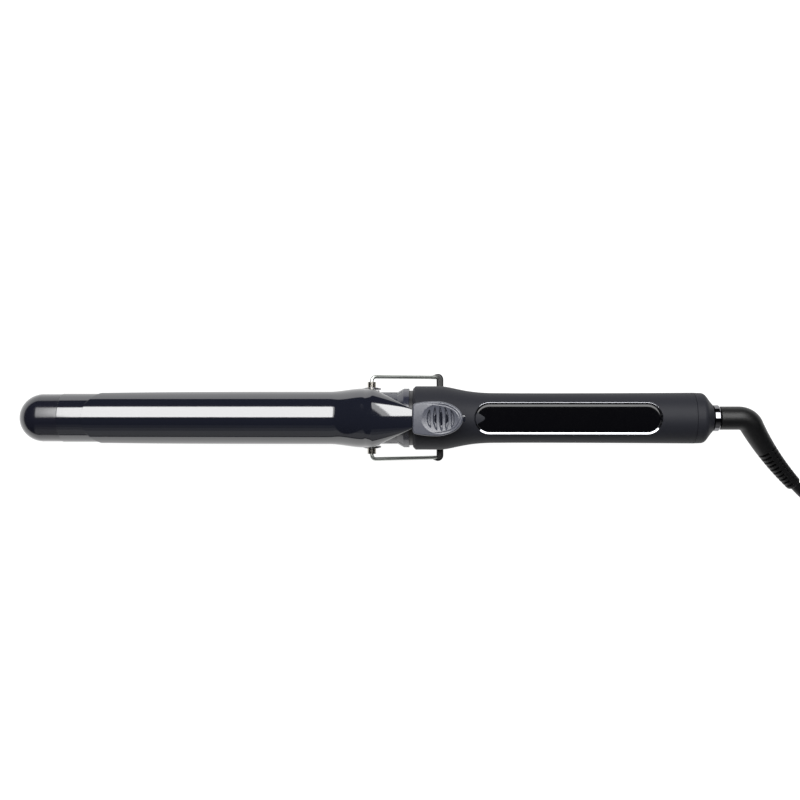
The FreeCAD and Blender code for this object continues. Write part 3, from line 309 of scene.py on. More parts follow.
def arch_shell(stations, half_width, top, base, power, start_angle, wall, columns):
    """Arched sheet over the iron. A section's outer line is y = w * sgn(cos a) |cos a|^(2/n) and
    z = base + (top - base) |sin a|^(2/n) for a from the edge to its mirror, its inner line is the
    same with w and top less the wall, and a half round of the wall's thickness joins them."""
    stations, half_width, top, base, power, start_angle = (
        np.broadcast_to(v, stations.shape)[:, None]
        for v in (stations, half_width, top, base, power, start_angle))
    spread = np.linspace(0, 1, columns)[None, :]
    angle = start_angle + (np.pi - 2 * start_angle) * spread
    c = np.cos(angle)
    s = np.sin(angle)
    bent_c = bent(c, power)
    bent_s = bent(s, power)
    outer = np.stack([half_width * bent_c, base + (top - base) * bent_s], axis=-1)
    inner = np.stack([(half_width - wall) * bent_c, base + (top - wall - base) * bent_s], axis=-1)

    def rim(outer_end, inner_end, inside):
        middle = (outer_end + inner_end) / 2
        reach = np.linalg.norm(outer_end - inner_end, axis=-1, keepdims=True) / 2
        across = (outer_end - inner_end) / (2 * reach)
        outward = middle - inside
        outward -= np.sum(outward * across, axis=-1, keepdims=True) * across
        outward /= np.maximum(np.linalg.norm(outward, axis=-1, keepdims=True), 1e-9)
        turn = np.linspace(0, np.pi, 9)[1:-1][None, :, None]
        return (middle[:, None] + reach[:, None] * (np.cos(turn) * across[:, None]
                                                    + 0.8 * np.sin(turn) * outward[:, None]))

    far_rim = rim(outer[:, -1], inner[:, -1], (outer[:, -3] + inner[:, -3]) / 2)
    near_rim = rim(outer[:, 0], inner[:, 0], (outer[:, 2] + inner[:, 2]) / 2)[:, ::-1]
    loop = np.concatenate([outer, far_rim, inner[:, ::-1], near_rim], axis=1)
    return on_iron(stations, loop[..., 0], loop[..., 1])


# ---------------------------------------------------------------- finishes

def add_node(tree, kind, settings=None, links=None):
    """Adds a node, sets its attributes and input values by name and links sockets into it."""
    node = tree.nodes.new(kind)
    for key, value in (settings or {}).items():
        if key in node.inputs:
            node.inputs[key].default_value = value
        else:
            setattr(node, key, value)
    for key, socket in (links or {}).items():
        tree.links.new(socket, node.inputs[key])
    return node


def per_mm(size):
    """Texture scale on Object coordinates, which are metres, for a feature of a size in mm."""
    return 1.0 / (size * MM)


# Each finish: material name, colour, roughness, IOR (none for a metal), its grain's size in mm,
# the height of that grain in mm, how far roughness wanders with it, how far the tone wanders, and
# any values set straight on the shader. Stretch draws the grain out along X, Y or Z.
FINISHES = {
    # Nylon moulded in a polished tool: darker than the coat, wide soft highlights.
    "tip_plastic": ("nylon_polished_moulding", "14151E", 0.16, 1.62, 0.9, 0.0012, 0.05, 0.06,
                    {"Coat Weight": 0.3, "Coat Roughness": 0.09, "Coat IOR": 1.6}),
    # Ceramic glaze sprayed on aluminium: dark navy, mirror bright, a trace of orange peel.
    "barrel_coating": ("ceramic_coat_sprayed_on_tube", "COATING", 0.08, 2.0, 1.6, 0.0010,
                       0.03, 0.05, {}),
    # The same glaze on the pressed steel clamp.
    "clamp_coating": ("ceramic_coat_sprayed_on_pressing", "COATING", 0.07, 2.0, 1.8, 0.0010,
                      0.03, 0.05, {}),
    # Mica paper bonded in sheets: pale, pearly flakes.
    "mica_board": ("mica_sheet_pressed", "B9AA8C", 0.45, 1.58, 1.5, 0.02, 0.20, 0.25, {}),
    # Aluminium drawn through a die: long faint die lines.
    "aluminium_extrusion": ("aluminium_extruded", "B9BBBE", 0.34, None, 0.3, 0.004, 0.10,
                            0.06, {"stretch": "X"}),
    # Barium titanate fired in blocks: matt dark grey, gritty.
    "ptc_ceramic": ("titanate_ceramic_fired", "4A4744", 0.85, 1.9, 0.25, 0.02, 0.10, 0.15, {}),
    # Brass strip, rolled and punched.
    "brass_strip": ("brass_strip_rolled", "C9A24C", 0.30, None, 0.3, 0.003, 0.10, 0.08,
                    {"stretch": "X"}),
    # Polyimide film wound round the heater: amber, glossy, see-through at its edges.
    "polyimide_film": ("polyimide_film_wrapped", "B8651B", 0.22, 1.70, 1.2, 0.006, 0.08, 0.10,
                       {"Transmission Weight": 0.25}),
    # Glass bead drawn over a sensor.
    "sensor_glass": ("glass_bead_drawn", "8F6A4C", 0.08, 1.52, 0.5, 0.002, 0.03, 0.10,
                     {"Transmission Weight": 0.4}),
    # Tinned can of the thermal fuse.
    "fuse_metal": ("tinned_can_drawn", "B7B3AA", 0.28, None, 0.4, 0.003, 0.08, 0.08, {}),
    # Heat-proof PPS moulding, dark and dry looking.
    "bush_plastic": ("polyphenylene_moulded", "121216", 0.42, 1.55, 0.4, 0.006, 0.10, 0.10, {}),
    # Black enamel sprayed on the pressed bracket.
    "bracket_coating": ("enamel_sprayed_on_bracket", "232530", 0.20, 1.75, 1.1, 0.002, 0.05,
                        0.06, {}),
    # Turned bushes, chromed and handled.
    "bush_chrome": ("chrome_plated_turning", "A8A49C", 0.16, None, 0.3, 0.002, 0.08, 0.06, {}),
    # Bright steel washers punched from strip.
    "washer_steel": ("steel_washer_punched", "9C9C9E", 0.30, None, 0.3, 0.003, 0.10, 0.06, {}),
    # Spring wire, drawn and oil tempered.
    "spring_steel": ("spring_wire_drawn", "8B8D90", 0.28, None, 0.2, 0.002, 0.10, 0.06, {}),
    # Thumb pad moulded in grey ABS with a satin, slightly pearly face.
    "lever_plastic": ("abs_satin_moulding", "LEVER", 0.30, 1.54, 0.35, 0.0022, 0.08, 0.05,
                      {"Coat Weight": 0.25, "Coat Roughness": 0.22}),
    # Zinc-plated machine screws.
    "screw_steel": ("zinc_plated_steel", "A7A9AC", 0.26, None, 0.3, 0.003, 0.10, 0.06, {}),
    # Rubbery paint sprayed over the ABS handle: matt with a low, wide sheen and fine pores.
    "handle_soft_touch": ("soft_touch_paint_on_abs", "GRIP", 0.58, 1.30, 0.28, 0.0035, 0.07,
                          0.06, {}),
    # Vacuum-metallised trim ring.
    "bezel_chrome": ("chrome_metallised_trim", "9C9DA2", 0.12, None, 0.6, 0.001, 0.03, 0.04,
                     {}),
    # Acrylic window, back printed in black and polished in front.
    "lens_acrylic": ("acrylic_back_printed_black", "050507", 0.06, 1.42, 2.5, 0.0006, 0.02,
                     0.05, {}),
    # Glass-fibre laminate with green solder mask over a fine weave.
    "board_laminate": ("fibreglass_laminate_masked", "1C5A34", 0.30, 1.55, 0.5, 0.004, 0.08,
                       0.12, {}),
    # Milky diffuser block of the lit figures.
    "display_plastic": ("epoxy_diffuser_cast", "CFCBC0", 0.40, 1.50, 0.6, 0.004, 0.06, 0.05,
                        {}),
    # Epoxy packages of the chips.
    "component_black": ("epoxy_transfer_moulded", "1A1A1B", 0.50, 1.55, 0.2, 0.005, 0.10, 0.10,
                        {}),
    # Film capacitor's flame-proof box.
    "capacitor_film": ("polyester_box_moulded", "A98D2C", 0.35, 1.50, 0.5, 0.004, 0.06, 0.08,
                       {}),
    # Shrunk sleeve of the electrolytic can.
    "capacitor_sleeve": ("vinyl_sleeve_shrunk", "23324F", 0.28, 1.53, 0.7, 0.003, 0.06, 0.08,
                         {}),
    # Cement coat of the power resistor.
    "resistor_coat": ("cement_coat_dipped", "8F9C8C", 0.65, 1.50, 0.3, 0.010, 0.10, 0.12, {}),
    # Glass tube of the board's fuse.
    "fuse_glass": ("soda_glass_tube", "C6D2D0", 0.05, 1.52, 0.8, 0.001, 0.02, 0.05,
                   {"Transmission Weight": 0.7}),
    # Natural nylon connector shell.
    "connector_nylon": ("nylon_natural_moulding", "D9D4C2", 0.38, 1.53, 0.5, 0.004, 0.06, 0.05,
                        {}),
    # Silicone sleeving, dusty and soft.
    "lead_silicone": ("silicone_sleeving_extruded", "A33A2F", 0.55, 1.42, 0.4, 0.004, 0.08,
                      0.10, {"stretch": "X"}),
    # Cap in the same paint as the handle, over a separate moulding.
    "cap_plastic": ("soft_touch_paint_on_cap", "GRIP", 0.56, 1.30, 0.28, 0.0035, 0.07, 0.06,
                    {}),
    # Glass-filled nylon brush holder.
    "holder_nylon": ("nylon_glass_filled", "2A2B2E", 0.50, 1.53, 0.3, 0.008, 0.10, 0.12, {}),
    # Phosphor copper brushes.
    "brush_copper": ("copper_sintered", "B5653D", 0.42, None, 0.2, 0.008, 0.12, 0.12, {}),
    # Stand wire: drawn steel, blackened chrome, bright line down its length.
    "stand_wire_chrome": ("steel_wire_bright_plated", "C2C6C1", 0.36, None, 0.3, 0.002, 0.08,
                          0.06, {}),
    # Stand foot: heat-proof moulding in black.
    "foot_plastic": ("phenolic_moulded_black", "0A0B0C", 0.42, 1.42, 0.4, 0.006, 0.10, 0.10,
                     {}),
    # Acetal swivel core: waxy black.
    "core_acetal": ("acetal_turned", "141416", 0.35, 1.48, 0.3, 0.003, 0.08, 0.08, {}),
    # Chromed collar ring.
    "collar_chrome": ("chrome_plated_collar", "77777A", 0.07, None, 0.5, 0.001, 0.03, 0.05,
                      {}),
    # Soft vinyl boot moulded on the cord.
    "boot_pvc": ("vinyl_moulded_boot", "RUBBER", 0.42, 1.40, 0.5, 0.006, 0.10, 0.12, {}),
    # Extruded vinyl sheath of the cord, faintly drawn along its length.
    "cord_pvc": ("vinyl_extruded_sheath", "RUBBER", 0.40, 1.40, 0.6, 0.006, 0.10, 0.12, {}),
    # Woven-look strap of the tie, in moulded elastomer.
    "tie_plastic": ("elastomer_strap_moulded", "1D1D20", 0.55, 1.50, 0.5, 0.02, 0.10, 0.12,
                    {}),
    # Plug in hard vinyl with spark-eroded texture, coarse enough to see.
    "plug_pvc": ("vinyl_spark_textured", "131315", 0.45, 1.53, 0.45, 0.012, 0.12, 0.12, {}),
    # Nickel-plated brass pins.
    "pin_nickel": ("nickel_plated_brass", "C2BEB4", 0.20, None, 0.3, 0.002, 0.08, 0.05, {}),
}


def finish_colour(value):
    chosen = {"COATING": colours().coating, "GRIP": colours().grip, "LEVER": colours().lever,
              "RUBBER": colours().rubber}
    if value in chosen:
        return tuple(chosen[value])
    return linear(value)


def finish_for(slot):
    """Material of a slot: one noise on Object coordinates, at the grain's real size, lifts the
    surface, wanders the roughness and shades the colour."""
    name, hex_colour, roughness, ior, grain, height, wander, tone, extra = FINISHES[slot]
    if name in bpy.data.materials:
        return bpy.data.materials[name]
    material = bpy.data.materials.new(name)
    material.use_nodes = True
    tree = material.node_tree
    tree.nodes.clear()
    output = add_node(tree, "ShaderNodeOutputMaterial")
    shader = add_node(tree, "ShaderNodeBsdfPrincipled", {"Metallic": float(ior is None)})
    if ior is not None:
        shader.inputs["IOR"].default_value = ior
    settings = dict(extra)
    stretch = settings.pop("stretch", None)
    for key, value in settings.items():
        shader.inputs[key].default_value = value
    drawn_out = [0.04 if axis == stretch else 1.0 for axis in "XYZ"]
    place = add_node(tree, "ShaderNodeTexCoord")
    mapping = add_node(tree, "ShaderNodeMapping", {"Scale": drawn_out},
                       {"Vector": place.outputs["Object"]})
    fine = add_node(tree, "ShaderNodeTexNoise",
                    {"Scale": per_mm(grain), "Detail": 3.0, "Roughness": 0.55},
                    {"Vector": mapping.outputs["Vector"]})
    broad = add_node(tree, "ShaderNodeTexNoise",
                     {"Scale": per_mm(14.0), "Detail": 2.0, "Roughness": 0.5},
                     {"Vector": mapping.outputs["Vector"]})
    base = np.array(finish_colour(hex_colour))
    dark = tuple(base * (1 - tone)) + (1.0,)
    light = tuple(np.minimum(base * (1 + tone), 1.0)) + (1.0,)
    shade = add_node(tree, "ShaderNodeMix", {"data_type": "RGBA"})
    shade.inputs[6].default_value = dark
    shade.inputs[7].default_value = light
    tree.links.new(broad.outputs["Fac"], shade.inputs[0])
    tree.links.new(shade.outputs[2], shader.inputs["Base Color"])
    spread = add_node(tree, "ShaderNodeMapRange",
                      {"To Min": max(0.0, roughness - wander), "To Max": roughness + wander},
                      {"Value": fine.outputs["Fac"]})
    tree.links.new(spread.outputs["Result"], shader.inputs["Roughness"])
    bump = add_node(tree, "ShaderNodeBump", {"Strength": 1.0, "Distance": height * MM},
                    {"Height": fine.outputs["Fac"]})
    tree.links.new(bump.outputs["Normal"], shader.inputs["Normal"])
    tree.links.new(shader.outputs["BSDF"], output.inputs["Surface"])
    return material


# ---------------------------------------------------------------- tip and barrel

class IRON_OT_tip_and_barrel(bpy.types.Operator):
    """Turn the cool tip and the heated tube"""
    bl_idname = "iron.tip_and_barrel"
    bl_label = "Tip and Barrel"

    def execute(self, context):
        radius = sizes().tip_radius / MM
        bore = sizes().barrel_radius / MM - 1.2
        # Dome: quarter circle of the tip's radius, then the sleeve with an eased rear corner.
        angle = np.linspace(0, np.pi / 2, 48)
        dome = np.stack([radius * (1 - np.cos(angle)), radius * np.sin(angle)], axis=1)
        rest = eased([(radius, radius), (22.55, radius), (22.55, bore - 0.05), (31.5, bore - 0.05),
                      (31.5, bore - 2.2), (9.0, bore - 2.2), (9.0, 0.0)], 0.25, closed=False)
        make_piece("cool_tip_turned", [turned(np.concatenate([dome, rest[1:]]))], "iron",
                   "tip_plastic", ["cool_tip"])
        outer = sizes().barrel_radius / MM
        tube = eased([(22.62, outer), (213.5, outer), (213.5, bore), (22.62, bore)], 0.2)
        make_piece("barrel_tube", [turned(tube, 160)], "iron", "barrel_coating", ["barrel"])
        return {"FINISHED"}


# ---------------------------------------------------------------- clamp

def crown_height(x):
    """Top line in mm: level, then with u = (x - start) / span it rises by
    1 - (1 - 1.1 u^2 / (u + 0.1))^1.55 of the neck's height."""
    start = FLARE_START + 1.5
    u = np.clip((x - start) / (PAD_START - start), 0.0, 1.0)
    eased_in = np.clip(1.1 * u * u / (u + 0.10), 0.0, 1.0)
    return CLAMP_TOP + (NECK_TOP - CLAMP_TOP) * (1 - (1 - eased_in) ** 1.55)


def side_width(x):
    """Half width in mm: the barrel's, a smoothstep flare to the ears, then a straight taper."""
    hinge = sizes().hinge_station / MM
    flare = smoothstep((x - FLARE_START) / FLARE_LENGTH)
    wide = CLAMP_TOP + (EAR_WIDTH - CLAMP_TOP) * flare
    u = np.clip((x - hinge - 0.8) / (PAD_START - hinge - 0.8), 0.0, 1.0)
    return wide + (NECK_WIDTH - EAR_WIDTH) * u


def base_height(x):
    """Level of the lower edge in mm: on the axis, then rising as 1 - (1 - u)^1.42 to the neck."""
    start = sizes().hinge_station / MM - 3.0
    u = np.clip((x - start) / (PAD_START - start), 0.0, 1.0)
    return (NECK_TOP - 1.0) * (1 - (1 - u) ** 1.42)


class IRON_OT_clamp_plate(bpy.types.Operator):
    """Press the clamp: nose, long half shell, flare, ears, neck and tongue"""
    bl_idname = "iron.clamp_plate"
    bl_label = "Clamp Plate"

    def execute(self, context):
        hinge = sizes().hinge_station / MM
        sheet = sizes().sheet / MM
        ease = 1 - np.cos(np.linspace(0.0, np.pi / 2, 28))
        nose = CLAMP_FRONT + 0.02 + (CLAMP_NOSE - 0.02) * ease
        body = np.linspace(CLAMP_FRONT + CLAMP_NOSE, FLARE_START, 60)[1:]
        flare = np.linspace(FLARE_START, PAD_START - 0.6, 90)[1:]
        x = np.concatenate([nose, body, flare])
        nose_x = CLAMP_FRONT + CLAMP_NOSE
        # The edge starts 4 mm above the axis and falls to 0.3 mm over 80 mm, then to the axis.
        edge = np.interp(x, [nose_x, nose_x + 80.0, FLARE_START, FLARE_START + 2.0],
                         [4.0, 0.3, 0.3, 0.0])
        reach = np.sqrt(np.clip(1 - ((nose_x - x) / CLAMP_NOSE) ** 2, 0.0, 1.0))
        reach = np.where(x < nose_x, reach, 1.0)
        start_angle = np.maximum(np.arcsin(edge / CLAMP_TOP), np.arccos(reach))
        power = 2.0 + 0.4 * smoothstep((x - FLARE_START) / FLARE_LENGTH)
        columns = 72
        shell = arch_shell(x, side_width(x), crown_height(x), base_height(x), power, start_angle,
                           sheet, columns)
        patches = [(capped(shell), False, True)]
        # Ears: flat discs on the hinge axis, a closed outline turned about that axis.
        rim = eased([(EAR_WIDTH - sheet, 0.01), (EAR_WIDTH - sheet, 4.8), (EAR_WIDTH + 0.05, 4.8),
                     (EAR_WIDTH + 0.05, 0.01)], 0.2)
        angle = np.linspace(0, 2 * np.pi, 64, endpoint=False)[:, None]
        for side in (-1, 1):
            patches.append((on_iron(hinge + rim[None, :, 1] * np.cos(angle), side * rim[None, :, 0],
                                    rim[None, :, 1] * np.sin(angle)), True, True))
        # Tongue: a strip with eased edges that runs under the pad and narrows to its tip.
        length = sizes().pad_length / MM
        run = np.array([-1.2, -1.0, 0.62 * length, 0.8 * length, length + 0.75, length + 0.9])
        half = np.array([NECK_WIDTH - 0.2, NECK_WIDTH, NECK_WIDTH, 1.7, 1.6, 1.3])
        section = eased([(-1, 0.06), (1, 0.06), (1, 0.06 + sheet), (-1, 0.06 + sheet)], 0.2, 4)
        strip = on_pad(run[:, None], half[:, None] * section[None, :, 0], section[None, :, 1])
        patches.append((capped(strip), False, True))
        make_piece("clamp_plate_pressed", patches, "clamp", "clamp_coating", ["clamp_plate"])
        return {"FINISHED"}


class IRON_OT_lever_pad(bpy.types.Operator):
    """Mould the thumb pad with its dish, its grooves and its stepped rim"""
    bl_idname = "iron.lever_pad"
    bl_label = "Lever Pad"

    def execute(self, context):
        length = sizes().pad_length / MM
        half = sizes().pad_width / MM / 2
        top = sizes().pad_thickness / MM
        widest = 11.4
        front_stretch = 21.0
        dish_half_length = 9.3
        dish_half_width = 7.4
        dish_depth = 0.85
        centre = length - dish_half_length - 1.6
        # Outline: a long front ellipse cut square, a short rear one, as x and half width.
        along = np.concatenate([np.linspace(0.0, widest, 60),
                                widest + (length - widest)
                                * np.sin(np.linspace(0, np.pi / 2, 90))[1:]])
        width = np.where(along < widest,
                         half * np.sqrt(1 - ((widest - along) / front_stretch) ** 2),
                         half * np.sqrt(np.clip(1 - ((along - widest) / (length - widest)) ** 2,
                                                0.0, 1.0)))
        corner = 1.3
        width = width - corner * round_off(1 - along / corner)
        front = np.linspace(-1, 1, 40)[1:-1] * width[0]
        outline = np.concatenate([np.stack([along, width], axis=1),
                                  np.stack([along[::-1][1:], -width[::-1][1:]], axis=1),
                                  np.stack([np.zeros(38), front], axis=1)])
        hub = np.array([centre, 0.0])
        spoke = outline - hub
        spoke_length = np.linalg.norm(spoke, axis=1)
        # Rings run from the hub to the rim, closer together over the last sixth.
        inner = 0.84
        rings = np.concatenate([np.linspace(0.0, inner, 74),
                                inner + (1 - inner) * np.sin(np.linspace(0, np.pi / 2, 26))[1:]])
        flat = hub + rings[:, None, None] * spoke[None]
        px = flat[..., 0]
        py = flat[..., 1]
        inset = (1 - rings)[:, None] * spoke_length[None]
        level = np.full(px.shape, top)
        # Dish: with q = (x / a)^2 + (y / b)^2 it sinks by (1 - q)^0.85 of its depth.
        q = ((px - centre) / dish_half_length) ** 2 + (py / dish_half_width) ** 2
        level -= dish_depth * np.clip(1 - q, 0.0, 1.0) ** 0.85
        # Grooves: five leaf-shaped slots w (1 - (y / r)^2)^0.7 wide, each bowed with y squared,
        # whose walls are smoothsteps. The outer ones are shorter.
        groove_pitch = 2.97
        groove_reach = 6.1
        groove_half_width = 0.72
        groove_wall = 0.34
        for offset in range(-2, 3):
            reach = groove_reach * math.sqrt(1 - 0.115 * offset ** 2)
            bow = 0.012 * py * abs(py) + 0.02 * offset * py * py
            beside = np.abs(px - (centre + groove_pitch * offset - bow))
            leaf = groove_half_width * np.clip(1 - (py / reach) ** 2, 0.0, 1.0) ** 0.7
            cut = smoothstep((leaf - beside) / groove_wall + 0.5) * (leaf > 0.02)
            level -= sizes().groove_depth / MM * cut * np.clip(leaf / 0.5, 0.0, 1.0)
        # Step: a crease (a Gaussian of the inset) and a lower rim outside it, which fade
        # towards the neck.
        crease_inset = 1.55
        crease_depth = 0.28
        step_depth = 0.22
        fade = smoothstep((px - 6.0) / 8.0)
        level -= crease_depth * fade * np.exp(-((inset - crease_inset) / 0.28) ** 2)
        level -= step_depth * fade * smoothstep((crease_inset - inset) / 0.5)
        # Rim: a quarter round.
        rim = 0.9
        level -= rim * round_off(1 - inset / rim)
        crown = 0.25
        level -= crown * (py / half) ** 2
        face = on_pad(px, py, level)
        lower = np.linspace(0, 1, 6)[1:, None]
        rim_level = level[-1][None]
        skirt_flat = outline[None] - 0.25 * lower[..., None] * (spoke / spoke_length[:, None])[None]
        skirt = on_pad(skirt_flat[..., 0], skirt_flat[..., 1], rim_level * (1 - lower))
        under = on_pad(np.full((1, len(outline)), centre), np.zeros((1, len(outline))),
                       np.zeros((1, len(outline))))
        grid = np.concatenate([face, skirt, under], axis=0)
        make_piece("lever_pad_moulded", [(grid, False, True)], "clamp", "lever_plastic",
                   ["lever_pad"], sharp_angle=60.0)
        return {"FINISHED"}


class IRON_OT_clamp_spring(bpy.types.Operator):
    """Wind the compression spring under the clamp's neck"""
    bl_idname = "iron.clamp_spring"
    bl_label = "Clamp Spring"

    def execute(self, context):
        mean = 2.7
        wire = 0.4
        bottom = SPRING_SEAT + 0.05 + wire
        top = float(crown_height(np.array(SPRING_STATION - mean - wire))) - 1.15 - wire
        # Helix: angle 2 pi n t, height eased at both ends so that the end turns lie closed.
        t = np.linspace(0, 1, 6 * 40 + 1)
        rise = 0.12 * t + 0.88 * smoothstep((t - 0.08) / 0.84)
        angle = 2 * np.pi * 6 * t
        v = np.linspace(0, 2 * np.pi, 12, endpoint=False)
        radius = mean + wire * np.cos(v)[None]
        x = SPRING_STATION + radius * np.cos(angle)[:, None]
        y = radius * np.sin(angle)[:, None]
        z = bottom + (top - bottom) * rise[:, None] + wire * np.sin(v)[None]
        coil = capped(on_iron(x, y, z))
        spring = make_piece("clamp_spring_wound", [(coil, False, True)], "iron", "spring_steel",
                            ["clamp_spring"])
        seat = on_iron(SPRING_STATION, 0.0, SPRING_SEAT)
        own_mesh(spring)
        return {"FINISHED"}


# ---------------------------------------------------------------- handle

def skin_line():
    """Outside of the handle as stations and radii in mm: chamfer, bulge, ogee, long waist."""
    bulge = sizes().bulge_radius / MM
    grip = sizes().grip_radius / MM
    ogee_span = GRIP_START - BULGE_END
    ogee = bezier([(BULGE_END, bulge), (BULGE_END + 0.24 * ogee_span, bulge),
                   (BULGE_END + 0.42 * ogee_span, grip - 0.1), (GRIP_START, grip)], 40)
    span = HANDLE_END - GRIP_START
    waist = bezier([(GRIP_START, grip), (GRIP_START + 0.17 * span, grip - 0.2),
                    (GRIP_START + 0.65 * span, grip - 0.05), (HANDLE_END, grip + 0.15)], 40)
    front = eased([(HANDLE_START, bulge - 1.3), (HANDLE_START + 1.3, bulge), (BULGE_END, bulge)],
                  0.5, closed=False)
    return np.concatenate([front, ogee[1:], waist[1:]])


def skin_radius(station):
    line = skin_line()
    return np.interp(station, line[:, 0], line[:, 1])


def skin_level(station, across):
    """Level of the handle's skin over a plan point: sqrt(radius(station)^2 - across^2)."""
    return np.sqrt(skin_radius(station) ** 2 - across ** 2)


class IRON_OT_handle_upper(bpy.types.Operator):
    """Mould the upper handle shell, eased along its parting line"""
    bl_idname = "iron.handle_upper"
    bl_label = "Upper Handle Shell"

    def execute(self, context):
        line = skin_line()
        extra = np.linspace(HANDLE_END - 0.4, HANDLE_END, 6)
        window_half = sizes().window_length / MM / 2
        ends = [WINDOW_CENTRE + side * np.linspace(window_half - 9.0, window_half + 0.5, 34)
                for side in (-1, 1)]
        x = np.unique(np.concatenate([line[:, 0], extra] + ends).round(4))
        radius = skin_radius(x)
        end_ease = 0.3
        radius = radius - end_ease * round_off((x - HANDLE_END) / end_ease + 1)
        columns = 150
        start = 0.012
        shell = arch_shell(x, radius, radius, 0.0, 2.0, start, 1.9, columns)
        # Recess: within the window's outline the outer skin sinks under the lens and trim.
        recess = 1.75
        half_width = sizes().window_width / MM / 2
        run = sizes().window_length / MM / 2 - half_width
        angle = start + (np.pi - 2 * start) * np.linspace(0, 1, columns)
        across = radius[:, None] * np.cos(angle)[None]
        beyond = np.clip(np.abs(x - WINDOW_CENTRE) - run, 0.0, None)[:, None]
        inside = half_width - np.hypot(beyond, across)
        sink = recess * smoothstep((inside - 0.35) / 0.4)
        shell[:, :columns] -= (sink * MM)[..., None] * ABOVE
        # End rows: each closes the wall, half-way between its outer and inner lines.
        rim = 7
        inner = shell[:, columns + rim:2 * columns + rim][:, ::-1]
        meet = (shell[:, :columns] + inner) / 2
        closed = np.concatenate([meet, np.repeat(meet[:, -1:], rim, axis=1), meet[:, ::-1],
                                 np.repeat(meet[:, :1], rim, axis=1)], axis=1)
        grid = np.concatenate([closed[:1], shell, closed[-1:]], axis=0)
        make_piece("handle_upper_shell", [(grid, False, True)], "iron", "handle_soft_touch",
                   ["handle_upper"], sharp_angle=35.0)
        return {"FINISHED"}


def stadium_line(half_length, half_width, count=64):
    """Closed outline of two half circles joined by straights, with its outward normals and the
    nearest points of its middle line, all as plan points in mm about the window's centre."""
    run = half_length - half_width
    turn = np.linspace(-np.pi / 2, np.pi / 2, count)
    right = np.stack([run + half_width * np.cos(turn), half_width * np.sin(turn)], axis=1)
    straight = np.linspace(1, -1, 80)[1:-1] * run
    upper = np.stack([straight, np.full(78, half_width)], axis=1)
    outline = np.concatenate([right, upper, -right, -upper])
    spine = np.stack([np.clip(outline[:, 0], -run, run), np.zeros(len(outline))], axis=1)
    normal = (outline - spine) / half_width
    return outline, normal, spine


class IRON_OT_window(bpy.types.Operator):
    """Make the window's trim ring and its glossy lens on the handle's skin"""
    bl_idname = "iron.window"
    bl_label = "Window Trim and Lens"

    def execute(self, context):
        half_length = sizes().window_length / MM / 2
        half_width = sizes().window_width / MM / 2
        outline, normal, spine = stadium_line(half_length, half_width)
        # Lens: one flat, faintly crowned plate at a level just under the shell's crest.
        glass = LENS_LEVEL
        edge = outline - 1.18 * normal
        rings = np.concatenate([np.linspace(0, 0.9, 16), np.linspace(0.9, 1.0, 8)[1:]])
        plan = spine[None] + rings[:, None, None] * (edge - spine)[None]
        level = glass - 0.012 * (plan[..., 1] / half_width) ** 2 - 0.10 * rings[:, None] ** 14
        face = on_iron(WINDOW_CENTRE + plan[..., 0], plan[..., 1], level)
        wall = on_iron(WINDOW_CENTRE + edge[None, :, 0], edge[None, :, 1], glass - 0.7)
        under = on_iron(WINDOW_CENTRE + spine[None, :, 0], spine[None, :, 1], glass - 0.7)
        make_piece("display_lens_polished", [(np.concatenate([face, wall, under]), False, True)],
                   "iron", "lens_acrylic", ["display_lens"])
        # Trim: an upright outer wall and a face that slopes inward from the skin to the lens.
        section = eased([(0.0, -2.4), (0.0, 0.0), (1.2, 0.0), (1.2, -1.0)], 0.3, 6)
        plan = outline[None] - section[:, None, :1] * normal[None]
        skin = skin_level(WINDOW_CENTRE + outline[:, 0], outline[:, 1])
        outer_top = np.maximum(skin + 0.1, glass + 0.45)[None]
        share = section[:, None, 0] / 1.2
        level = outer_top * (1 - share) + (glass + 0.1) * share + section[:, None, 1]
        grid = on_iron(WINDOW_CENTRE + plan[..., 0], plan[..., 1], level)
        make_piece("window_bezel_ring", [(grid, True, True)], "iron", "bezel_chrome",
                   ["window_bezel"])
        return {"FINISHED"}


# ---------------------------------------------------------------- folding stand

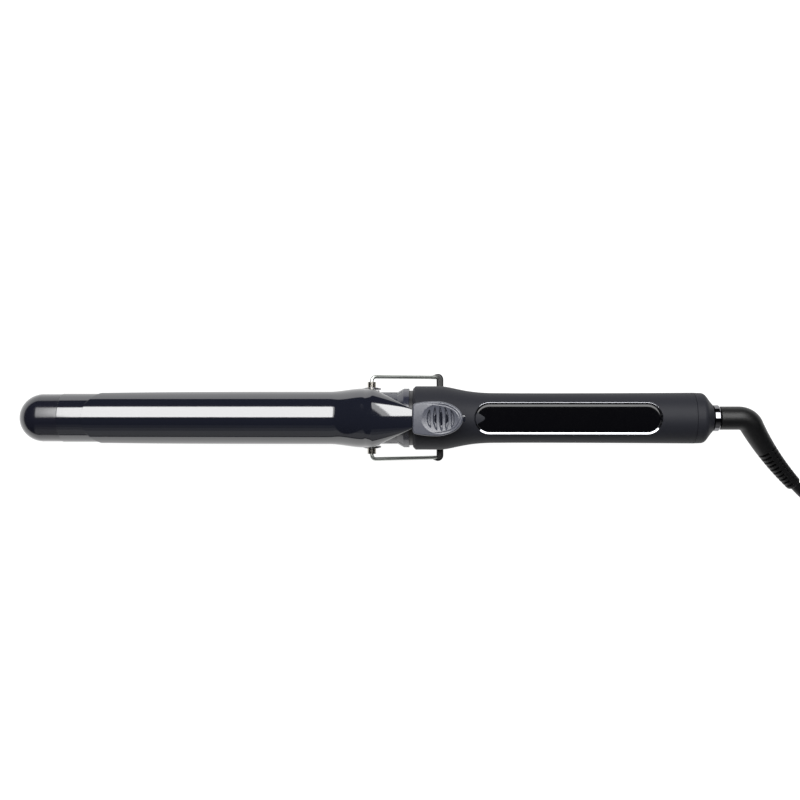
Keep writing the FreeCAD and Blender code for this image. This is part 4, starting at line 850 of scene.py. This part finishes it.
class IRON_OT_stand(bpy.types.Operator):
    """Bend the stand's wire and mould its clawed foot"""
    bl_idname = "iron.stand"
    bl_label = "Folding Stand"

    def execute(self, context):
        hinge = on_iron(sizes().hinge_station / MM, 0.0, 0.0).ravel()
        low, high = (np.array(v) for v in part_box("stand_foot"))
        wire_low, wire_high = (np.array(v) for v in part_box("stand_wire"))
        side = wire_high[1] - sizes().wire_radius
        wire_end = np.array([wire_high[0] - sizes().wire_radius, 0.0,
                             wire_low[2] + sizes().wire_radius])
        across = ACROSS * side
        inner = ACROSS * (sizes().barrel_radius + 1.4 * MM)
        corners = [hinge - inner, hinge - across, wire_end - across, wire_end + across,
                   hinge + across, hinge + inner]
        path = eased(corners, 2.6 * MM, 12, closed=False)
        normal = np.cross(ACROSS, wire_end - hinge)
        normal /= np.linalg.norm(normal)
        wire = tube_along(path, normal, sizes().wire_radius, 24)
        make_piece("stand_wire_bent", [(wire, False, True)], "stand", "stand_wire_chrome",
                   ["stand_wire"])
        # Foot: a flattened section carried along a line that turns forward into two claws.
        bar_x = wire_end[0] + 0.1 * MM
        tip_x = low[0] + 2.1 * MM
        reach = high[1] - 1.5 * MM
        line = eased([(tip_x, -reach + 0.3 * MM), (bar_x, -reach + 0.2 * MM), (bar_x, 0.0),
                      (bar_x, reach - 0.2 * MM), (tip_x, reach - 0.3 * MM)],
                     [1, 4.6 * MM, 1, 4.6 * MM, 1], 16, closed=False)
        step = np.linalg.norm(np.diff(line, axis=0), axis=1)
        step = np.concatenate([[0.0], np.cumsum(step)])
        blunt_run = 1.4 * MM
        inner = step[-1] - blunt_run
        walk = np.concatenate([np.linspace(0, blunt_run, 12),
                               np.linspace(blunt_run, inner, 110)[1:-1],
                               np.linspace(inner, step[-1], 12)])
        line = np.stack([np.interp(walk, step, line[:, axis]) for axis in (0, 1)], axis=1)
        way = np.gradient(line, axis=0)
        way /= np.linalg.norm(way, axis=1, keepdims=True)
        out = np.stack([way[:, 1], -way[:, 0]], axis=1)
        from_end = np.minimum(walk, step[-1] - walk)
        blunt = 1 - round_off(1 - from_end / blunt_run)
        half_width = (0.7 * MM + 1.1 * MM * smoothstep(from_end / (5 * MM))) * blunt
        half_height = (high[2] / 2 - 0.15 * MM) * (0.25 + 0.75 * blunt)
        v = np.linspace(0, 2 * np.pi, 32, endpoint=False)
        across = half_width[:, None] * bent(np.cos(v), 4.0)[None]
        foot = np.zeros((len(walk), 32, 3))
        foot[..., :2] = line[:, None] + across[..., None] * out[:, None]
        foot[..., 2] = half_height.max() + half_height[:, None] * bent(np.sin(v), 4.0)[None]
        make_piece("stand_foot_moulded", [(foot, False, True)], "stand", "foot_plastic",
                   ["stand_foot"])
        return {"FINISHED"}


# ---------------------------------------------------------------- boot, cord, plug

# The boot: its straight start, its elbow, the leg that relaxes from it and its roll, in mm.
BOOT_STRAIGHT = 9.6
BOOT_BEND_RADIUS = 7.7
BOOT_BEND = math.radians(59.5)
BOOT_LEG = 41.0
BOOT_RELAX = math.radians(13.5)
BOOT_LENGTH = BOOT_STRAIGHT + BOOT_BEND_RADIUS * BOOT_BEND + BOOT_LEG
BOOT_ROLL = math.radians(20.0)
# Middle radius of the hank's folds in mm; its lanes lie one cord's diameter apart.
HANK_FOLD = 21.8


def boot_line(distance):
    """Centre line of the boot in mm from its start: a straight, an arc, then a wide arc back.
    Gives points and directions as (along, sideways)."""
    turn = np.clip((distance - BOOT_STRAIGHT) / BOOT_BEND_RADIUS, 0.0, BOOT_BEND)
    leg = np.clip(distance - BOOT_LENGTH + BOOT_LEG, 0.0, None)
    leg_radius = BOOT_LEG / BOOT_RELAX
    ease = leg / leg_radius
    along = np.minimum(distance, BOOT_STRAIGHT) + BOOT_BEND_RADIUS * np.sin(turn)
    aside = BOOT_BEND_RADIUS * (1 - np.cos(turn))
    way = np.stack([np.cos(turn), np.sin(turn)], axis=-1)
    back = np.stack([np.sin(turn), -np.cos(turn)], axis=-1)
    point = (np.stack([along, aside], axis=-1) + way * (leg_radius * np.sin(ease))[..., None]
             + back * (leg_radius * (1 - np.cos(ease)))[..., None])
    heading = way * np.cos(ease)[..., None] + back * np.sin(ease)[..., None]
    return point, heading


def boot_place(point, heading):
    """Boot points and directions in the room: along the swivel's axis, and to a side that is
    rolled 20 degrees below the iron's own side."""
    sideways = -math.cos(BOOT_ROLL) * ACROSS - math.sin(BOOT_ROLL) * ABOVE
    start = on_iron(BOOT_START, 0.0, 0.0).ravel()
    place = start + MM * (point[..., :1] * ALONG + point[..., 1:] * sideways)
    way = heading[..., :1] * ALONG + heading[..., 1:] * sideways
    return place, way


class IRON_OT_boot(bpy.types.Operator):
    """Mould the cord boot with its elbow and its flexing slots"""
    bl_idname = "iron.boot"
    bl_label = "Cord Boot"

    def execute(self, context):
        radius = sizes().boot_radius / MM
        end_radius = 3.85
        slot_pitch = 2.45
        slots = BOOT_LENGTH - 2.6 - slot_pitch * np.arange(10)
        offsets = np.array([-0.62, -0.52, -0.42, 0.0, 0.42, 0.52, 0.62])
        cuts = (slots[:, None] + offsets[None]).ravel()
        front_ease = 0.5
        lip = 0.9
        lip_start = BOOT_LENGTH - lip
        smooth_part = np.concatenate([np.linspace(0, front_ease, 8),
                                      np.linspace(front_ease, 24, 60)[1:],
                                      np.linspace(24.0, lip_start, 40)[1:],
                                      lip_start + lip * np.sin(np.linspace(0, np.pi / 2, 10))[1:]])
        distance = np.unique(np.concatenate([smooth_part, cuts]).round(4))
        u = np.clip((distance - BOOT_LENGTH) / BOOT_LEG + 1, 0.0, 1.0)
        ring = radius + (end_radius - radius) * u ** 0.9
        ring -= front_ease * round_off(1 - distance / front_ease)
        ring -= lip * round_off((distance - BOOT_LENGTH) / lip + 1)
        v = np.linspace(0, 2 * np.pi, 120, endpoint=False)[None]
        # Slot depth: full within a slot, less a middle spine 2.2 mm wide above and below.
        nearest = np.min(np.abs(distance[:, None] - slots[None]), axis=1)
        in_slot = smoothstep((0.60 - nearest) / 0.16)[:, None]
        point, heading = boot_line(distance)
        place, way = boot_place(point, heading)
        level = np.cross(way, (0.0, 0.0, 1.0))
        level /= np.linalg.norm(level, axis=1, keepdims=True)
        up = np.cross(level, way)
        flank = smoothstep((np.abs(ring[:, None] * np.cos(v)) - 1.0) / 0.35)
        core = np.minimum(3.0, ring - 0.7)[:, None]
        section = ring[:, None] + (core - ring[:, None]) * in_slot * flank
        grid = (place[:, None] + MM * section[..., None]
                * (np.cos(v)[..., None] * level[:, None] + np.sin(v)[..., None] * up[:, None]))
        make_piece("cord_boot_moulded", [(capped(grid), False, True)], "swivel", "boot_pvc",
                   ["cord_boot"])
        return {"FINISHED"}


def hank_lap(lap, centre_left, centre_right, centre_y, strand, levels):
    """Control points of one lap of the hank, counter-clockwise from the near end of its lower
    straight. Fold points sit at radius / cos 15 deg every 30 deg, so the curve keeps the radius."""
    step = math.radians(15)
    radius = HANK_FOLD + strand * (1, 0, -1, -1, 0)[lap]
    level = levels[0] if lap < 3 else levels[1]
    points = [(centre_left + radius * math.tan(step), centre_y - radius, level),
              (centre_right - radius * math.tan(step), centre_y - radius, level)]
    for angle in range(-75, 90, 30):
        reach = radius / math.cos(step)
        points.append((centre_right + reach * math.cos(math.radians(angle)),
                       centre_y + reach * math.sin(math.radians(angle)), level))
    points.append((centre_right - radius * math.tan(step), centre_y + radius, level))
    points.append((centre_left + radius * math.tan(step), centre_y + radius, level))
    # The far fold hands the cord over to the next lap: the lower laps step inward, the third
    # climbs, and the upper laps step outward before the climb needs their place.
    inward = [0.0, 0.0, 0.1, 0.5, 0.95, 1.0]
    outward = [0.5, 1.0, 1.0, 1.0, 1.0, 1.0]
    climb = [0.0, 0.25, 0.75, 1.0, 1.0, 1.0]
    for index, angle in enumerate(range(105, 270, 30)):
        shift = -strand * inward[index] if lap < 2 else 0.0
        rise = climb[index] if lap == 2 else 0.0
        if lap > 2:
            shift = strand * outward[index]
        reach = (radius + shift) / math.cos(step)
        points.append((centre_left + reach * math.cos(math.radians(angle)),
                       centre_y + reach * math.sin(math.radians(angle)),
                       level + rise * (levels[1] - levels[0])))
    return points


class IRON_OT_cord(bpy.types.Operator):
    """Lay the mains cord: down to the table, round its hank and out to the plug"""
    bl_idname = "iron.cord"
    bl_label = "Mains Cord"

    def execute(self, context):
        cord_radius = sizes().cord_diameter / MM / 2
        strand = sizes().cord_diameter / MM
        point, heading = boot_line(np.array([BOOT_LENGTH]))
        place, way = boot_place(point, heading)
        exit_point = place[0]
        start = exit_point / MM
        low, high = box_mm("cord_hank")
        half_hank = HANK_FOLD + 1.5 * strand
        centre_left = low[0] + half_hank
        centre_right = high[0] - half_hank
        centre_y = (low[1] + high[1]) / 2
        levels = (cord_radius, cord_radius + strand)
        near_y = centre_y - HANK_FOLD - strand
        corner = start + way[0] * ((near_y - start[1]) / way[0, 1])
        landing = (corner[0] + 36.0, near_y, cord_radius)
        points = [start, corner, landing] + hank_lap(0, centre_left, centre_right, centre_y,
                                                     strand, levels)[1:]
        for lap in range(1, 5):
            points += hank_lap(lap, centre_left, centre_right, centre_y, strand, levels)
        # The last fold hands over to the tail, which climbs on the hank and enters the plug.
        plug_low, plug_high = box_mm("plug_body")
        entry = (plug_low + plug_high) / 2
        entry[0] = plug_low[0]
        points += [(centre_left + 8.0, near_y, levels[1] + 0.6),
                   (centre_left + 24.0, near_y + 1.2, levels[1] + 5.0),
                   (entry[0] - 12.0, entry[1], entry[2]),
                   (entry[0] + 1.0, entry[1], entry[2]),
                   (entry[0] + 5.0, entry[1], entry[2])]
        curve = bpy.data.curves.new("mains_cord", "CURVE")
        curve.dimensions = "3D"
        spline = curve.splines.new("NURBS")
        spline.points.add(len(points) - 1)
        placed = np.ones((len(points), 4))
        placed[:, :3] = np.array([tuple(p) for p in points]) * MM
        spline.points.foreach_set("co", placed.ravel())
        spline.order_u = 3
        spline.use_endpoint_u = True
        curve.resolution_u = 10
        curve.bevel_depth = cord_radius * MM
        curve.bevel_resolution = 6
        curve.use_fill_caps = True
        curve.materials.append(finish_for("cord_pvc"))
        cord = bpy.data.objects.new("mains_cord", curve)
        bpy.context.scene.collection.objects.link(cord)
        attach(cord, "iron")
        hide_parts("cord_lead", "cord_hank", "cord_tail")
        return {"FINISHED"}


class IRON_OT_plug_and_tie(bpy.types.Operator):
    """Mould the mains plug and the strap that ties the hank"""
    bl_idname = "iron.plug_and_tie"
    bl_label = "Plug and Tie"

    def execute(self, context):
        low, high = box_mm("plug_body")
        middle_y = (low[1] + high[1]) / 2
        middle_z = (low[2] + high[2]) / 2
        half_width = (high[1] - low[1]) / 2
        half_height = (high[2] - low[2]) / 2
        length = high[0] - low[0]
        # Body: sections y = w |cos|^(2/n), z = h |sin|^(2/n); the relief's rings and the grip's
        # ribs are waves on w and h.
        x = np.unique(np.concatenate([np.linspace(0, 22, 120), np.linspace(22, length - 1, 90),
                                      length - 1 + np.sin(np.linspace(0, np.pi / 2, 10))]).round(4))
        swell = smoothstep((x - 20.0) / 13.0)
        relief = np.interp(x, [0, 22], [3.4, 5.0])
        rings = 0.32 * np.clip(np.sin(2 * np.pi * x / 2.6) * 3, -1, 1) * (x > 1.5) * (x < 18.5)
        widen = smoothstep((x - 30.0) / 22.0)
        ribs = 0.30 * np.sin(2 * np.pi * (x - 31.0) / 2.4) * (x > 31) * (x < 43)
        body_width = half_width - 2.4 * (1 - widen) + ribs
        width = relief + rings + (body_width - relief - rings) * swell
        height = relief + rings + (half_height - relief - rings) * swell
        front_ease = 1.0
        front = front_ease * round_off((x - length) / front_ease + 1)
        width = width - front
        height = height - front
        v = np.linspace(0, 2 * np.pi, 96, endpoint=False)[None]
        power = (2.0 + 2.2 * swell)[:, None]
        y = width[:, None] * bent(np.cos(v), power)
        z = height[:, None] * bent(np.sin(v), power)
        grid = np.stack([np.broadcast_to((low[0] + x)[:, None], y.shape), middle_y + y,
                         middle_z + z], axis=-1) * MM
        make_piece("plug_body_moulded", [(capped(grid), False, True)], "iron", "plug_pvc",
                   ["plug_body"])
        # Strap: a flat section carried round an eased rectangle over the strands.
        low, high = box_mm("cord_tie")
        loop = eased([(low[1] + 0.45, 0.45), (high[1] - 0.45, 0.45),
                      (high[1] - 0.45, high[2] + 0.55), (low[1] + 0.45, high[2] + 0.55)], 2.4, 8)
        way = np.roll(loop, -1, axis=0) - np.roll(loop, 1, axis=0)
        way /= np.linalg.norm(way, axis=1, keepdims=True)
        out = np.stack([way[:, 1], -way[:, 0]], axis=1)
        half_run = (high[0] - low[0]) / 2
        section = eased([(-half_run, -0.4), (half_run, -0.4), (half_run, 0.4), (-half_run, 0.4)],
                        0.25, 4)
        side = loop[None] + section[:, None, 1:] * out[None]
        along = (low[0] + high[0]) / 2 + np.broadcast_to(section[:, None, 0], side.shape[:2])
        grid = np.concatenate([along[..., None], side], axis=-1) * MM
        make_piece("cord_tie_strap", [(grid, True, True)], "iron", "tie_plastic", ["cord_tie"])
        return {"FINISHED"}


# ---------------------------------------------------------------- carried-over nodes

class IRON_OT_node_finishes(bpy.types.Operator):
    """Give every node of the frame that still shows the finish of its slot"""
    bl_idname = "iron.node_finishes"
    bl_label = "Node Finishes"

    def execute(self, context):
        for name, node in frame["nodes"].items():
            for material_slot in node.material_slots:
                slot = material_slot.material.name.split(".")[0]
                if slot in FINISHES:
                    material_slot.material = finish_for(slot)
        return {"FINISHED"}


# ---------------------------------------------------------------- stage

class IRON_OT_stage(bpy.types.Operator):
    """Set the floor, the soft lights and the overhead camera"""
    bl_idname = "iron.stage"
    bl_label = "Studio Stage"

    def execute(self, context):
        scene = bpy.context.scene
        camera_data = bpy.data.cameras.new("overhead_camera")
        camera_data.lens = 50.0
        camera_data.sensor_width = 36.0
        camera = bpy.data.objects.new("overhead_camera", camera_data)
        camera.location = (0.01436, 0.00916, 0.588)
        scene.collection.objects.link(camera)
        scene.camera = camera
        self.floor(scene)
        # Key: two softboxes overhead, leaning from the far side, one longer and dimmer than the
        # other. Fill: three dim ones in front, each lower and wider than the last.
        self.softbox("key_core", 26.5, 1.2, (1.30, 1.00), 5.0)
        self.softbox("key_wide", 27.5, 1.21, (1.60, 1.10), 2.2)
        self.softbox("fill_low", -72.0, 1.2, (1.8, 0.60), 0.12)
        self.softbox("fill_middle", -66.0, 1.21, (1.8, 0.95), 0.08)
        self.softbox("fill_wide", -60.0, 1.22, (1.8, 1.30), 0.06)
        world = bpy.data.worlds.new("studio_dark")
        world.use_nodes = True
        world.node_tree.nodes["Background"].inputs["Color"].default_value = (0.016, 0.016, 0.018, 1)
        scene.world = world
        scene.view_settings.view_transform = "Standard"
        return {"FINISHED"}

    def floor(self, scene):
        """Square sheet of the table's level, in a matt white that glows enough to stay even."""
        corner = 3.0
        x, y = np.meshgrid(np.linspace(-corner, corner, 9), np.linspace(-corner, corner, 9),
                           indexing="ij")
        points = np.stack([x, y, np.full(x.shape, -0.0002)], axis=-1)
        mesh = bpy.data.meshes.new("studio_floor")
        mesh.from_pydata(points.reshape(-1, 3).tolist(), [],
                         grid_faces(9, 9, False, False)[:, ::-1].tolist())
        floor = bpy.data.objects.new("studio_floor", mesh)
        scene.collection.objects.link(floor)
        material = bpy.data.materials.new("paper_white_lit")
        material.use_nodes = True
        tree = material.node_tree
        shader = tree.nodes["Principled BSDF"]
        shader.inputs["Base Color"].default_value = (0.12, 0.12, 0.12, 1.0)
        shader.inputs["Roughness"].default_value = 1.0
        shader.inputs["Specular IOR Level"].default_value = 0.0
        shader.inputs["Emission Color"].default_value = tuple(colours().floor) + (1.0,)
        # The glow holds to 0.30 m from the middle and falls to nothing at 0.95 m.
        place = add_node(tree, "ShaderNodeTexCoord")
        distance = add_node(tree, "ShaderNodeVectorMath", {"operation": "LENGTH"},
                            {0: place.outputs["Object"]})
        glow = add_node(tree, "ShaderNodeMapRange",
                        {"interpolation_type": "SMOOTHSTEP", "From Min": 0.30, "From Max": 0.95,
                         "To Min": 1.0, "To Max": 0.0}, {"Value": distance.outputs["Value"]})
        tree.links.new(glow.outputs["Result"], shader.inputs["Emission Strength"])
        mesh.materials.append(material)

    def softbox(self, name, lean, distance, size, radiance):
        """Rectangular light at a lean from overhead towards +Y, in degrees. Its power is
        radiance * pi * area."""
        data = bpy.data.lights.new(name, "AREA")
        data.shape = "RECTANGLE"
        data.size, data.size_y = size
        data.energy = radiance * math.pi * size[0] * size[1]
        light = bpy.data.objects.new(name, data)
        angle = math.radians(lean)
        light.location = (0.0, distance * math.sin(angle), distance * math.cos(angle))
        light.rotation_euler = (-angle, 0.0, 0.0)
        light.visible_camera = False
        bpy.context.scene.collection.objects.link(light)


# ---------------------------------------------------------------- panel and registration

MAKERS = (IRON_OT_stage, IRON_OT_boot, IRON_OT_plug_and_tie, IRON_OT_cord,
          IRON_OT_tip_and_barrel, IRON_OT_clamp_plate, IRON_OT_lever_pad, IRON_OT_clamp_spring,
          IRON_OT_handle_upper, IRON_OT_window, IRON_OT_stand, IRON_OT_node_finishes)


class IRON_PT_panel(bpy.types.Panel):
    """Sidebar list of the curling iron's makers, sizes and colours"""
    bl_idname = "IRON_PT_panel"
    bl_label = "Curling Iron"
    bl_space_type = "VIEW_3D"
    bl_region_type = "UI"
    bl_category = "Curling Iron"

    def draw(self, context):
        layout = self.layout
        for group in (sizes(), colours()):
            box = layout.box()
            for key in group.__annotations__:
                box.prop(group, key)
        for maker in MAKERS:
            layout.operator(maker.bl_idname)


CLASSES = (IronSizes, IronColours) + MAKERS + (IRON_PT_panel,)


def register():
    for item in CLASSES:
        bpy.utils.register_class(item)
    bpy.types.Scene.iron_sizes = bpy.props.PointerProperty(type=IronSizes)
    bpy.types.Scene.iron_colours = bpy.props.PointerProperty(type=IronColours)


def unregister():
    del bpy.types.Scene.iron_colours
    del bpy.types.Scene.iron_sizes
    for item in reversed(CLASSES):
        bpy.utils.unregister_class(item)


def main():
    register()
    for maker in MAKERS:
        group, name = maker.bl_idname.split(".")
        result = getattr(getattr(bpy.ops, group), name)()
        if "FINISHED" not in result:
            raise RuntimeError(maker.bl_idname + " did not finish")


if __name__ == "__main__":
    main()
